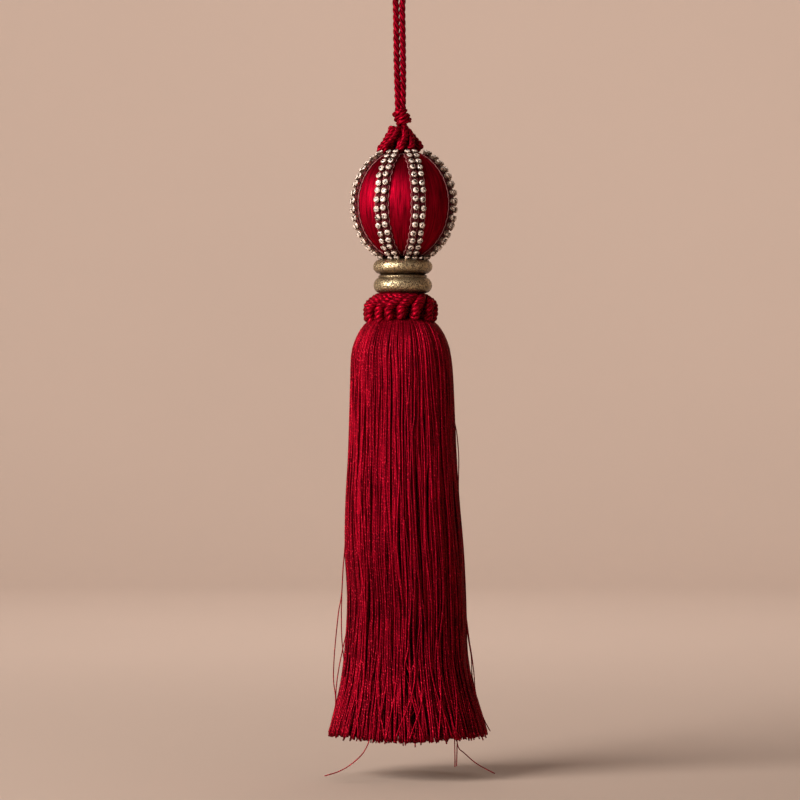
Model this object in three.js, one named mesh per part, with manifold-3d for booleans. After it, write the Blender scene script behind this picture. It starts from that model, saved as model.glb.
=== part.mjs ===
// Hanging silk tassel: a doubled cord and its knot, a crown of cord loops, a satin-covered ball with
// crystal chain, two gilt rings, a ruff of coiled cord and a long skirt of cut threads.
// Millimetres, +Z up, front towards -Y. The origin is inside the top of the hanging loop.
import * as THREE from 'three';
import { mergeVertices } from 'three/addons/utils/BufferGeometryUtils.js';
import Module from 'manifold-3d';

const wasm = await Module();
wasm.setup();

// Driving dimensions
const PIECE_GAP = 0.3;
const SEAM_TOLERANCE = 1e-4;

const CORD_DIAMETER = 2.2;
const CORD_PLIES = 3;
const CORD_PLY_PITCH = 13;
const CORD_PLY_DEPTH = 0.16;
const CORD_SIDES = 9;
const CORD_STEPS = 76;

const KNOT_TOP = -61.6;
const KNOT_HEIGHT = 6.1;
const KNOT_SHIFT = 0.9;
const KNOT_RADIUS = 3.2;
const KNOT_STEPS = 13;
const KNOT_SIDES = 20;
const KNOT_FULLNESS = 0.4;
const KNOT_WRAPS = 3;
const KNOT_SLANT = 1.6;
const KNOT_RIDGE = 0.4;
const KNOT_BULGE = 0.8;

const CROWN_HEIGHT = 9.8;
const CROWN_SHIFT = 0.5;
const CROWN_LOOPS = 11;
const CROWN_LEAN = 0.7;
const CROWN_RELIEF = 1.7;
const CROWN_GROOVE = 0.6;
const CROWN_RIM = 8.3;

const BALL_RADIUS = 20;
const BALL_HALF_HEIGHT = 22;
const BALL_SHIFT = 2;
const BALL_SIDES = 24;
const BALL_BANDS = 12;

const CHAIN_ROWS = 15;
const CHAIN_FIRST_ROW = 27.5;
const CHAIN_LAST_ROW = 149.5;
const CHAIN_WIDTH = 5.4;
const CHAIN_BAND = 0.8;
const CHAIN_STONE = 1.7;
const CHAIN_TIP = 0.3;

const RING_BORE = 7;
const RING_SHIFT = 1.5;
const RING_SEAT = 0.45;
const RING_ARC_STEPS = 7;
const RING_SIDES = 32;

const RUFF_HEIGHT = 12.7;
const RUFF_SHIFT = 0.9;
const RUFF_LOOPS = 15;
const RUFF_LEAN = 0.5;
const RUFF_LEAN_FROM = 0.4;
const RUFF_RELIEF = 2.4;
const RUFF_GROOVE = 0.72;
const RUFF_EDGE = 1;
const LOOP_UNEVEN = 0.15;
const SIDES_PER_CROWN_LOOP = 4;
const SIDES_PER_RUFF_LOOP = 5;

const NECK_RADIUS = 9;
const FOOT_RADIUS = 13;
const FOOT_HEIGHT = 2.2;
const FOOT_SIDES = 28;
const SKIRT_SHIFT = 0.9;

// Heights of the stack, worked down from the knot
const CROWN_TOP = KNOT_TOP - KNOT_HEIGHT - PIECE_GAP;
const CROWN_BOTTOM = CROWN_TOP - CROWN_HEIGHT;
const BALL_MIDDLE = CROWN_BOTTOM - PIECE_GAP - BALL_HALF_HEIGHT;
const SEAT_SHARE = Math.sqrt(1 - (RING_BORE / BALL_RADIUS) ** 2);
const UPPER_RING_TOP = BALL_MIDDLE - BALL_HALF_HEIGHT * SEAT_SHARE - RING_SEAT;

// The cord's centre line in the X-Z plane: up the left leg, round the loop, down the right leg
const CORD_ROUTE = [
  [-0.65, -61.3],
  [-0.75, -52],
  [-0.92, -42],
  [-1.08, -31],
  [-1.22, -22],
  [-1.4, -18],
  [-1.95, -14.5],
  [-3.0, -10.8],
  [-4.1, -7.2],
  [-4.6, -3.5],
  [-3.25, -0.25],
  [0, 1.1],
  [3.25, -0.25],
  [4.6, -3.5],
  [4.1, -7.2],
  [3.0, -10.8],
  [1.95, -14.5],
  [1.44, -18],
  [1.3, -22],
  [1.44, -31],
  [1.6, -42],
  [1.77, -52],
  [1.87, -61.3],
];

// Degrees from the front, towards +X
const CHAIN_ANGLES = [-75, -27, 17, 70, 113, 156, 199, 242];

// One section across a crystal chain: the band's edges lie on the ball, with two stones between them
const CHAIN_SECTION = [
  { across: 0.5, stone: 0, band: 0 },
  { across: -0.5, stone: 0, band: 0 },
  { across: -0.25, stone: 1, band: 1 },
  { across: 0, stone: 0, band: 1 },
  { across: 0.25, stone: 1, band: 1 },
];

const RINGS = [
  { name: 'ring_upper', radius: 11.9, height: 6.7 },
  { name: 'ring_lower', radius: 11.6, height: 6.6 },
];

// Outer radius of the hanging skirt at each height, and how far its middle has swung to +X
const SKIRT_SECTIONS = [
  { height: -149, radius: 12.4, swing: 0 },
  { height: -149.6, radius: 15.8, swing: 0 },
  { height: -151.6, radius: 18, swing: 0 },
  { height: -155.5, radius: 19.6, swing: 0 },
  { height: -163, radius: 20.4, swing: 0.1 },
  { height: -274, radius: 25.2, swing: 1.9 },
  { height: -298, radius: 27.2, swing: 2.3 },
  { height: -312, radius: 31.6, swing: 2.7 },
];

// Rings of locks from the outside in: share of the skirt's radius, and a lock's half-size at root and end
const LOCK_RINGS = [
  { count: 76, share: 1, root: 0.36, end: 1.1, turn: 0 },
  { count: 42, share: 0.84, root: 0.44, end: 1.6, turn: 0.4 },
  { count: 20, share: 0.62, root: 0.5, end: 2, turn: 0.2 },
];
const LOCK_SIDES = 3;
const LOCK_UNEVEN_LENGTH = 1.4;
const LOCK_UNEVEN_PLACE = 0.16;
const SEEDS_PER_LOCK = 10;
const SEEDS_PER_RING = 1000;

// Threads that have slipped out below the hem: place round the skirt, sideways reach and fall of the tail
const LOOSE_THREADS = [
  { angle: -43, share: 0.7, reach: -17.5, fall: 14.5 },
  { angle: 56, share: 0.71, reach: 0.3, fall: 11.4 },
  { angle: 63, share: 0.71, reach: -0.6, fall: 11.8 },
  { angle: 72, share: 0.71, reach: 13.6, fall: 14.6 },
];
const LOOSE_HALF_SIZE = 0.32;
const LOOSE_TAIL_STEPS = 4;
const LOOSE_SWEEP = 1.5;
const LOOSE_SETTLE = 1.6;

// Outer locks on the left that have thinned to a thread and stand away: bow outwards at each section
const STRAY_LOCKS = [
  { index: 56, bow: [0, 0, 0, 0, 0, 1.8, 3, 0.8] },
  { index: 58, bow: [0, 0, 0, 0, 0, 3.2, 1.6, 0.4] },
];

const silk = new THREE.MeshStandardMaterial({ color: 0x9c0a20, roughness: 0.55, metalness: 0 });
const floss = new THREE.MeshStandardMaterial({ color: 0xab0a22, roughness: 0.35, metalness: 0 });
const gilt = new THREE.MeshStandardMaterial({ color: 0xa8864a, roughness: 0.38, metalness: 0.9 });
const crystal = new THREE.MeshStandardMaterial({ color: 0xe6dccb, roughness: 0.12, metalness: 0.2 });

// A repeatable number between -1 and 1 for each seed: the far digits of a sine
function uneven(seed) {
  const step = 127.1;
  const start = 11.7;
  const magnify = 43758.5;
  const spread = Math.sin(seed * step + start) * magnify;
  return 2 * (spread - Math.floor(spread)) - 1;
}

// The direction that faces a place round the tassel, in radians from the front towards +X
function facing(angle) {
  return new THREE.Vector3(Math.sin(angle), -Math.cos(angle), 0);
}

// A closed skin with shared corners: seams and poles are joined, and collapsed triangles drop out
function closed(geometry) {
  geometry.deleteAttribute('normal');
  geometry.deleteAttribute('uv');
  const skin = mergeVertices(geometry, SEAM_TOLERANCE);
  const corners = skin.index.array;
  const kept = [];
  for (let i = 0; i < corners.length; i += 3) {
    const [a, b, c] = corners.slice(i, i + 3);
    if (a !== b && b !== c && c !== a) {
      kept.push(a, b, c);
    }
  }
  skin.setIndex(kept);
  skin.computeVertexNormals();
  return skin;
}

// Moves every point of a geometry to the place that a function gives for it
function reshape(geometry, place) {
  const points = geometry.attributes.position;
  const point = new THREE.Vector3();
  for (let i = 0; i < points.count; i++) {
    point.fromBufferAttribute(points, i);
    const moved = place(point);
    points.setXYZ(i, moved.x, moved.y, moved.z);
  }
  return geometry;
}

// A turned form about +Z from [radius, height] pairs that run from the bottom up
function turned(profile, segments) {
  const points = profile.map(([radius, height]) => new THREE.Vector2(radius, height));
  return new THREE.LatheGeometry(points, segments).rotateX(Math.PI / 2);
}

// Raises a turned form's skin outwards by a relief, and leans it round by an angle for each height
function raise(geometry, relief, lean) {
  return reshape(geometry, (point) => {
    const radius = Math.hypot(point.x, point.y);
    const angle = Math.atan2(point.x, -point.y);
    const out = radius > SEAM_TOLERANCE ? relief(angle, point.z, radius) : 0;
    const moved = facing(angle + lean(point.z)).multiplyScalar(radius + out);
    return moved.setZ(point.z);
  });
}

// Lays a straight cylinder along a curve: its axis follows the curve and its X axis keeps to `side`
function layAlong(cylinder, curve, side, shape) {
  const { height } = cylinder.parameters;
  return reshape(cylinder, (point) => {
    const share = Math.min(Math.max(0.5 - point.y / height, 0), 1);
    const tangent = curve.getTangent(share);
    const out = new THREE.Vector3().crossVectors(tangent, side).normalize();
    const across = new THREE.Vector3().crossVectors(out, tangent);
    const { radius, angle } = shape(Math.hypot(point.x, point.z), Math.atan2(point.x, point.z), share);
    return curve
      .getPoint(share)
      .addScaledVector(across, radius * Math.sin(angle))
      .addScaledVector(out, radius * Math.cos(angle));
  });
}

function solidOf(geometry) {
  return new wasm.Manifold(
    new wasm.Mesh({
      numProp: 3,
      vertProperties: geometry.attributes.position.array,
      triVerts: new Uint32Array(geometry.index.array),
    }),
  );
}

function geometryOf(solid) {
  const { vertProperties, triVerts } = solid.getMesh();
  const geometry = new THREE.BufferGeometry();
  geometry.setAttribute('position', new THREE.BufferAttribute(vertProperties, 3));
  geometry.setIndex(new THREE.BufferAttribute(triVerts, 1));
  geometry.computeVertexNormals();
  return geometry;
}

function piece(name, geometry, material, shift = 0, height = 0) {
  const mesh = new THREE.Mesh(geometry, material);
  mesh.name = name;
  mesh.position.set(shift, 0, height);
  return mesh;
}

// The hanging cord: three plies with an S twist, doubled into a loop
function hangingCord() {
  const route = new THREE.CatmullRomCurve3(CORD_ROUTE.map(([x, z]) => new THREE.Vector3(x, 0, z)));
  const length = route.getLength();
  const turns = length / CORD_PLY_PITCH;
  const evenly = {
    getPoint: (share) => route.getPointAt(share),
    getTangent: (share) => route.getTangentAt(share),
  };
  const cylinder = new THREE.CylinderGeometry(1, 1, length, CORD_SIDES, CORD_STEPS);
  const side = new THREE.Vector3(0, 1, 0);
  const cord = layAlong(cylinder, evenly, side, (radius, angle, share) => {
    const ply = 1 - CORD_PLY_DEPTH * (1 - Math.cos(CORD_PLIES * angle));
    return { radius: (radius * ply * CORD_DIAMETER) / 2, angle: angle + 2 * Math.PI * turns * share };
  });
  return piece('hanging_cord', closed(cord), silk);
}

// The knot: wraps that climb to the right round a barrel, fuller at the upper left and lower right
function knot() {
  const profile = [];
  for (let i = 0; i <= KNOT_STEPS; i++) {
    const share = i / KNOT_STEPS;
    profile.push([KNOT_RADIUS * Math.abs(Math.sin(Math.PI * share)) ** KNOT_FULLNESS, KNOT_HEIGHT * share]);
  }
  const wrap = (angle, height) => {
    const share = height / KNOT_HEIGHT;
    const ridge = KNOT_RIDGE * Math.cos(2 * Math.PI * KNOT_WRAPS * share - KNOT_SLANT * Math.sin(angle));
    const bulge = KNOT_BULGE * Math.sin(angle) * Math.cos(Math.PI * share);
    return Math.sin(Math.PI * share) * (ridge + bulge);
  };
  const barrel = raise(turned(profile, KNOT_SIDES), wrap, () => 0);
  return piece('knot', closed(barrel), silk, KNOT_SHIFT, KNOT_TOP - KNOT_HEIGHT);
}

// Cords side by side round a form: about 1 on the crest of a cord, 0 in the groove between two
function cordCrest(angle, cords) {
  const turn = (angle / (2 * Math.PI)) * cords;
  const cord = Math.round(turn);
  const fullness = 1 + LOOP_UNEVEN * uneven(((cord % cords) + cords) % cords);
  return fullness * Math.sqrt(Math.max(0, 1 - (2 * (turn - cord)) ** 2));
}

// The crown: short cord loops that fan out from under the knot, over the top of the ball
function crown() {
  const profile = [
    [0, 0],
    [5.6, 0],
    [7.9, 0.5],
    [CROWN_RIM, 1.7],
    [7.2, 3.9],
    [5.6, 6],
    [3.7, 8],
    [1.9, 9.4],
    [0, CROWN_HEIGHT],
  ];
  const loops = (angle, height, radius) => {
    const spread = height > 0 ? Math.min(1, radius / CROWN_RIM) : 0;
    return CROWN_RELIEF * (cordCrest(angle, CROWN_LOOPS) - CROWN_GROOVE) * spread;
  };
  const lean = (height) => CROWN_LEAN * (height / CROWN_HEIGHT);
  const fan = raise(turned(profile, CROWN_LOOPS * SIDES_PER_CROWN_LOOP), loops, lean);
  return piece('crown', closed(fan), silk, CROWN_SHIFT, CROWN_BOTTOM);
}

// The ball: satin floss over a turned form, a little taller than wide
function ball() {
  const sphere = new THREE.SphereGeometry(1, BALL_SIDES, BALL_BANDS).rotateX(Math.PI / 2);
  sphere.scale(BALL_RADIUS, BALL_RADIUS, BALL_HALF_HEIGHT);
  return piece('ball', closed(sphere), floss, BALL_SHIFT, BALL_MIDDLE);
}

// How high the chain stands at one of its steps: tips at the ends, then valleys and stones in turn
function chainHeight(corner, step) {
  const steps = 2 * CHAIN_ROWS;
  if (step === 0 || step === steps) {
    return corner.band * CHAIN_TIP;
  }
  const onStone = corner.stone && step % 2 === 1;
  return onStone ? CHAIN_STONE : corner.band * CHAIN_BAND;
}

// A two-row crystal chain, laid down the ball as a meridian
function chain(index) {
  const steps = 2 * CHAIN_ROWS;
  const sides = CHAIN_SECTION.length;
  const halfPitch = (CHAIN_LAST_ROW - CHAIN_FIRST_ROW) / (CHAIN_ROWS - 1) / 2;
  const meridian = facing(THREE.MathUtils.degToRad(CHAIN_ANGLES[index]));
  const across = new THREE.Vector3(-meridian.y, meridian.x, 0);
  const up = new THREE.Vector3(0, 0, 1);
  const band = reshape(new THREE.CylinderGeometry(1, 1, steps, sides, steps), (point) => {
    const step = Math.round(steps / 2 - point.y);
    const onAxis = Math.hypot(point.x, point.z) < SEAM_TOLERANCE;
    const slot = Math.round((Math.atan2(point.x, point.z) / (2 * Math.PI)) * sides);
    const corner = onAxis
      ? { across: 0, stone: 0, band: 0.5 }
      : CHAIN_SECTION[(slot + sides) % sides];
    const tilt = THREE.MathUtils.degToRad(CHAIN_FIRST_ROW + (step - 1) * halfPitch);
    const normal = meridian
      .clone()
      .multiplyScalar(Math.sin(tilt) / BALL_RADIUS)
      .addScaledVector(up, Math.cos(tilt) / BALL_HALF_HEIGHT)
      .normalize();
    return meridian
      .clone()
      .multiplyScalar(BALL_RADIUS * Math.sin(tilt))
      .addScaledVector(up, BALL_HALF_HEIGHT * Math.cos(tilt))
      .addScaledVector(normal, PIECE_GAP + chainHeight(corner, step))
      .addScaledVector(across, corner.across * CHAIN_WIDTH);
  });
  return piece(`chain_${index + 1}`, closed(band), crystal, BALL_SHIFT, BALL_MIDDLE);
}

// A gilt ring: a half-round bead outside a plain bore, on which the ball's underside rests
function giltRing({ name, radius, height }, top) {
  const crest = radius - height / 2;
  const profile = [];
  for (let i = 0; i <= RING_ARC_STEPS; i++) {
    const turn = Math.PI * (i / RING_ARC_STEPS - 0.5);
    profile.push([crest + (height / 2) * Math.cos(turn), (height / 2) * Math.sin(turn)]);
  }
  profile.push([RING_BORE, height / 2]);
  profile.push([RING_BORE, -height / 2]);
  profile.push(profile[0]);
  return piece(name, closed(turned(profile, RING_SIDES)), gilt, RING_SHIFT, top - height / 2);
}

// The ruff: a thick cord coiled in loops round the neck, upright below and leaning to the right above
function ruff(bottom) {
  const profile = [
    [NECK_RADIUS + PIECE_GAP, 0],
    [12.2, 0],
    [13.9, 1.6],
    [14.4, 4.2],
    [14.2, 6.8],
    [13.0, 9.2],
    [11.6, 11.4],
    [10.6, RUFF_HEIGHT],
    [NECK_RADIUS + PIECE_GAP, RUFF_HEIGHT],
    [NECK_RADIUS + PIECE_GAP, 0],
  ];
  const bore = NECK_RADIUS + 2 * PIECE_GAP;
  const loops = (angle, height, radius) => {
    const swell = Math.sin((Math.PI * (height + RUFF_EDGE)) / (RUFF_HEIGHT + 2 * RUFF_EDGE));
    return radius > bore ? RUFF_RELIEF * (cordCrest(angle, RUFF_LOOPS) - RUFF_GROOVE) * swell : 0;
  };
  const lean = (height) => RUFF_LEAN * Math.max(0, height / RUFF_HEIGHT - RUFF_LEAN_FROM);
  const coil = raise(turned(profile, RUFF_LOOPS * SIDES_PER_RUFF_LOOP), loops, lean);
  return piece('ruff', closed(coil), silk, RUFF_SHIFT, bottom);
}

// A lock of the skirt, thin at the root and full at the cut end, with a ridge outwards
function lock(points, side, root, end) {
  const curve = new THREE.CatmullRomCurve3(points);
  const spans = points.length - 1;
  const cylinder = new THREE.CylinderGeometry(root, end, 1, LOCK_SIDES, spans);
  return closed(layAlong(cylinder, curve, side, (radius, angle) => ({ radius, angle })));
}

// The points of a lock at one place round the skirt, on a share of its radius
function lockPoints(angle, share, standOff, seed = 0) {
  const last = SKIRT_SECTIONS.length - 1;
  const out = facing(angle);
  const round = new THREE.Vector3(-out.y, out.x, 0);
  return SKIRT_SECTIONS.map(({ height, radius, swing }, row) => {
    const free = (row / last) ** 2;
    const cut = row === last ? uneven(seed) * LOCK_UNEVEN_LENGTH : 0;
    return new THREE.Vector3(swing, 0, height + cut)
      .addScaledVector(out, radius * share + standOff(row / last, row))
      .addScaledVector(round, uneven(seed + row) * free * LOCK_UNEVEN_PLACE);
  });
}

// A thread whose tail has slipped below the hem and curls sideways
function looseThread({ angle, share, reach, fall }) {
  const turn = THREE.MathUtils.degToRad(angle);
  const points = lockPoints(turn, share, () => 0);
  const hem = points[points.length - 1];
  for (let i = 1; i <= LOOSE_TAIL_STEPS; i++) {
    const along = i / LOOSE_TAIL_STEPS;
    const sideways = reach * along ** LOOSE_SWEEP;
    const down = fall * (1 - (1 - along) ** LOOSE_SETTLE);
    points.push(hem.clone().add(new THREE.Vector3(sideways, 0, -down)));
  }
  return lock(points, new THREE.Vector3(0, 1, 0), LOOSE_HALF_SIZE, LOOSE_HALF_SIZE);
}

// The skirt: the bound neck and its foot, with every lock's root fused into the foot
function skirt(neckTop, footTop) {
  const profile = [
    [0, footTop - FOOT_HEIGHT],
    [FOOT_RADIUS, footTop - FOOT_HEIGHT],
    [FOOT_RADIUS, footTop],
    [NECK_RADIUS, footTop],
    [NECK_RADIUS, neckTop],
    [0, neckTop],
  ];
  let hank = solidOf(closed(turned(profile, FOOT_SIDES)));
  LOCK_RINGS.forEach(({ count, share, root, end, turn }, ring) => {
    for (let i = 0; i < count; i++) {
      const stray = ring === 0 && STRAY_LOCKS.find(({ index }) => index === i);
      const size = stray ? LOOSE_HALF_SIZE : end;
      const angle = (2 * Math.PI * (i + turn)) / count;
      const standOff = (along, row) => (stray ? stray.bow[row] : 0) - (root + (size - root) * along);
      const points = lockPoints(angle, share, standOff, ring * SEEDS_PER_RING + (i + 1) * SEEDS_PER_LOCK);
      const side = new THREE.Vector3(-facing(angle).y, facing(angle).x, 0);
      hank = hank.add(solidOf(lock(points, side, root, size)));
    }
  });
  LOOSE_THREADS.forEach((thread) => {
    hank = hank.add(solidOf(looseThread(thread)));
  });
  return piece('skirt', geometryOf(hank), silk, SKIRT_SHIFT);
}

const tassel = new THREE.Group();
tassel.add(hangingCord(), knot(), crown(), ball());
CHAIN_ANGLES.forEach((angle, index) => tassel.add(chain(index)));

let stackTop = UPPER_RING_TOP;
RINGS.forEach((ring) => {
  tassel.add(giltRing(ring, stackTop));
  stackTop -= ring.height + PIECE_GAP;
});

const ruffBottom = stackTop - RUFF_HEIGHT;
tassel.add(ruff(ruffBottom), skirt(stackTop, ruffBottom - PIECE_GAP));

export default tassel;
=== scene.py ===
"""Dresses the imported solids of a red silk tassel: cords, satin floss, crystal chains, gilding and threads.

Metres, +Z up, front towards -Y. The origin is inside the top of the hanging loop. The tables below hold
millimetres unless they say otherwise, and angles round the tassel run from the front towards +X.
"""

import math

import bmesh
import bpy
import numpy as np
from bpy.props import FloatProperty, FloatVectorProperty, IntProperty, PointerProperty
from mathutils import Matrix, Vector, noise


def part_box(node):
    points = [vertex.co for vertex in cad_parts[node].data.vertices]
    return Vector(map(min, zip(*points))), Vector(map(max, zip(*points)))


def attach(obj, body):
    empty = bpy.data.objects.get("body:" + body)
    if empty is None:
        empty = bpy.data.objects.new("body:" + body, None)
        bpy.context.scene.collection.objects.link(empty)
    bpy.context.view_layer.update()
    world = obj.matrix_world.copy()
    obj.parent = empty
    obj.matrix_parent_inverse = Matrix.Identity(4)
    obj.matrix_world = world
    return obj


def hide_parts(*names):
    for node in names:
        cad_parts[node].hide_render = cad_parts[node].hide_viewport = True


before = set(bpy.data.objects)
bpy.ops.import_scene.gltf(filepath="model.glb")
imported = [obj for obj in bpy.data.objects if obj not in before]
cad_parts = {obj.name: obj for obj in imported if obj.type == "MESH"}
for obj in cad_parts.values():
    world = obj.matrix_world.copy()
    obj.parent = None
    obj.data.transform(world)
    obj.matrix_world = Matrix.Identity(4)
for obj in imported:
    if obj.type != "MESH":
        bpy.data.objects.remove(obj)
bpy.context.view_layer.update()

bl_info = {
    "name": "Silk Tassel",
    "version": (1, 0, 0),
    "blender": (4, 5, 0),
    "location": "View3D > Sidebar > Tassel",
    "description": "Builds a red silk tassel round its solids",
    "category": "Add Mesh",
}

MM = 0.001
FULL_TURN = 2 * math.pi
BODY = "root"

# The studio: the flat floor's radius, the sweep at its edge and the wall's height, in metres
FLOOR_FLAT = 1.6
FLOOR_SWEEP = 0.8
WALL_HEIGHT = 1.8
# The camera: the width of its sensor, and how far it stands towards +X
SENSOR_WIDTH = 36.0
CAMERA_ASIDE = 0.4
# Lamps, with the place, the aim and the size in metres, and the colour
LAMPS = {
    "key": ((-0.976, -0.819, 0.3), (0.0, 0.0, -0.17), 1.15, (1.0, 0.95, 0.9)),
    "fill": ((1.1, -1.0, 0.1), (0.0, 0.0, -0.17), 1.0, (1.0, 0.95, 0.92)),
    "wall": ((0.0, 0.7, 1.2), (0.0, 2.4, 0.2), 1.2, (1.0, 0.95, 0.92)),
}
ROOM_LIGHT = (1.0, 0.96, 0.93, 1.0)
ROOM_STRENGTH = 0.06

# Tint of the highlights on silk
SILK_TINT = (1.0, 0.12, 0.2, 1.0)

# The hanging cord's centre line, (x, z): up the left leg, round the loop and down the right leg
CORD_ROUTE = (
    (-0.4, -61.3), (-0.65, -52), (-0.92, -42), (-1.08, -31), (-1.22, -22), (-1.4, -18), (-1.95, -14.5),
    (-3.0, -10.8), (-4.1, -7.2), (-4.6, -3.5), (-3.25, -0.25), (0, 1.1), (3.25, -0.25), (4.6, -3.5),
    (4.1, -7.2), (3.0, -10.8), (1.95, -14.5), (1.44, -18), (1.3, -22), (1.44, -31), (1.6, -42),
    (1.65, -52), (1.5, -61.3),
)
# How far both ends reach down into the knot
CORD_TUCK = 1.6
# Points along one full twist of the hanging cord and of the ruff's cord, and the tones of both
HANGING_STEPS = 18
RUFF_STEPS = 15
HANGING_TONE = -0.1
RUFF_TONE = -0.05

# The knot's coil: where it starts, its turns, its radius, and how that grows and wobbles on the way down
KNOT_START = math.radians(150)
KNOT_TURNS = 2.7
KNOT_RADIUS = 2.15
KNOT_GROWTH = 0.35
KNOT_WOBBLE = 0.2
KNOT_WOBBLES = 2.3
# Its middle at the top and its drift to +X, its lift above its solid, the share of its cord by which it
# falls less than the solid's height, its tilt and the length of one full twist of its plies
KNOT_MIDDLE = 0.1
KNOT_DRIFT = 2.1
KNOT_LIFT = 0.45
KNOT_OVERLAP = 0.45
KNOT_TILT = 0.3
KNOT_PITCH = 11
# The neck of two thick plies below the knot, (x, y, z)
NECK_LINE = ((0.6, 0, -61.6), (0.8, 0, -64), (1.2, -0.2, -67), (1.4, -0.4, -69.5), (1.1, -0.4, -72))
NECK_CORD = 4.5
# Spacing of the points along the knot's coil and along the neck
KNOT_SPACING = 0.3
NECK_SPACING = 0.4

# One crown loop, (radius, height, share of its lean): out of the neck, over to the rim and back beneath
CROWN_LOOP = (
    (1.3, -69.8, 0.0), (3.3, -70.3, 0.12), (5.2, -72.6, 0.42), (6.7, -74.9, 0.72), (8.1, -76.5, 0.95),
    (8.4, -77.7, 1.06), (6.9, -78.3, 1.2), (5.0, -76.4, 1.1), (2.8, -73.2, 0.8), (1.2, -71.2, 0.4),
)
CROWN_SEED = 11
# The crown's middle towards +X, its rise in that direction, the length of one full twist of its plies and
# the spacing of the points along its loops
CROWN_MIDDLE = 0.2
CROWN_SLOPE = 0.08
CROWN_PITCH = 6.0
CROWN_SPACING = 0.32
# How far the loops differ: in place, and in reach and width as shares, in height and in tone
CROWN_JITTER = 0.12
CROWN_REACH = (0.93, 1.01)
CROWN_WIDTH = (0.92, 1.08)
CROWN_RISE = (-0.4, 0.5)
CROWN_TONE = (-0.15, 0.1)
# The small loop that stands out at the crown's upper left, (x, y, z), and its cord as a share of the others
CROWN_STUB = (
    (0.8, -0.6, -72.0), (-1.0, -1.4, -70.2), (-2.6, -1.6, -69.2), (-3.5, -1.4, -69.7), (-3.3, -1.9, -71.2),
    (-2.0, -2.6, -72.8), (-0.6, -2.4, -74.0),
)
STUB_CORD = 0.78
STUB_PITCH = 5.0

# Fineness of the ridges of floss round the ball and along it, and how fast they rise from its poles
FLOSS_ROUND = 11
FLOSS_ALONG = 0.8
FLOSS_RISE = 2

# Places of the chains in degrees, and how far each right column stands above its left one on the ball
CHAIN_ANGLES = (-71, -25.8, 16.2, 68.5, 114, 157, 200, 243)
CHAIN_SLANTS = (0.03, 0.012, 0.0, -0.01, 0.0, 0.01, 0.0, 0.01)
CHAIN_SEED = 5
# Rings of a stone in its cup, (share of its radius, height, turn as a share of one side): foot to table
STONE_SIDES = 8
STONE_RINGS = ((0.8, 0.1, 0), (1.0, 1.27, 0), (0.92, 1.3, 0), (0.56, 1.62, 0.5))
TABLE_MIDDLE = 1.57
# One prong of the cup, (share of the stone's radius, height), and half its width as such a share
PRONGS = 4
PRONG_FOOT = (1.02, 1.1)
PRONG_SHOULDER = (0.82, 1.36)
PRONG_TIP = (0.84, 1.6)
PRONG_HALF = 0.16
PRONG_CORNERS = 5
# How far stones stray across and along their chain, and how far they tilt
STRAY_ACROSS = 0.12
STRAY_ALONG = 0.006
STONE_TILT = 0.05
# Painted reflections of the cut facets: their tones, with the share of unlit ones and their tone,
# and the tones of the table, with its run of dark faces
FACET_REFLECTION_TONES = (0.55, 1.0)
UNLIT_FACET_SHARE = 0.12
UNLIT_FACET_TONE = 0.1
TABLE_REFLECTION_TONES = (0.3, 1.0)
DARK_REFLECTION_RUN = (3, 6)
# How high the chain's parts lie over the ball, and the radii of their threads
STONE_LIFT = 0.75
BACKING_LIFT = 0.1
EDGE_LIFT = 0.4
RUNG_LIFT = 0.5
BACKING_THREAD = 0.5
EDGE_THREAD = 0.15
RUNG_THREAD = 0.11
# How far the net's edges swing round the stones, how far its rungs cross, as a share of a row, and the
# points along a rung
EDGE_SWING = 0.4
RUNG_CROSSING = 0.35
RUNG_POINTS = 7
# How far the net and the dark thread behind it go on past the first and the last row, as angles on the ball
NET_OVERHANG = 0.05
BACKING_OVERHANG = 0.04
# Places of the dark threads across the net, as shares of its width; they also paint the shade under and
# between the stones
BACKING_STRIPS = np.linspace(-0.4, 0.4, 6)
BACKING_TONE = -0.5
# Finishes of a chain, in the order of its materials
CRYSTAL, CUP, NET, GROUND_AND_SHADE = range(4)

# Outsides of the two gilt rings from top to bottom, (radius, height)
RING_PROFILES = {
    "ring_upper": (
        (7.6, -121.5), (8.8, -121.7), (10.4, -122.2), (11.5, -123.3), (11.9, -124.7), (11.5, -126.1),
        (10.4, -127.2), (9.3, -127.6), (8.9, -127.9),
    ),
    "ring_lower": (
        (8.9, -128.0), (9.6, -128.2), (9.8, -128.7), (9.7, -129.1), (10.5, -129.5), (11.3, -130.6),
        (11.7, -132.1), (11.4, -133.6), (10.4, -134.8), (8.9, -135.3), (7.6, -135.4),
    ),
}
# Radius of the bore, depth and fineness of the dents, and the step in their noise from ring to ring
RING_BORE = 7.0
RING_DENT = 0.09
DENT_FINENESS = 260
DENT_STEP = 9
# Patina in the hollows and painted shade on the undersides: the patina is full this far in from the widest
# point, the weight of both, and how far down a face has to look to count as an underside
PATINA_DEPTH = 2.4
PATINA_AND_SHADE_WEIGHT = 0.75
UNDERSIDE_SHADE_OFFSET = 0.1

# Turns of the ruff at the front, in degrees, with how far each droops, and the number of turns at the back
RUFF_FRONT = {-67: 1.0, -42: 2.2, -21: -0.6, 1: -1.1, 27: -1.2, 58: -0.6}
RUFF_BACK_TURNS = 9
RUFF_SEED = 3
# Radius of the coil's middle, how far it swings out and in, and how far its top and its foot are drawn in
RUFF_RADIUS = 11.2
RUFF_SWING = 1.9
RUFF_TOP_IN = 2.7
RUFF_FOOT_IN = -1.0
# How far the turns differ: in place at the back, in degrees, in droop there, and in how far they bulge
RUFF_JITTER = 4
RUFF_BACK_DROOP = (-0.3, 0.5)
RUFF_BULGE = (-0.6, 0.4)
# Points along one turn, and the power of the curve in which it leans over
TURN_POINTS = 90
LEAN_POWER = 1.3

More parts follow.
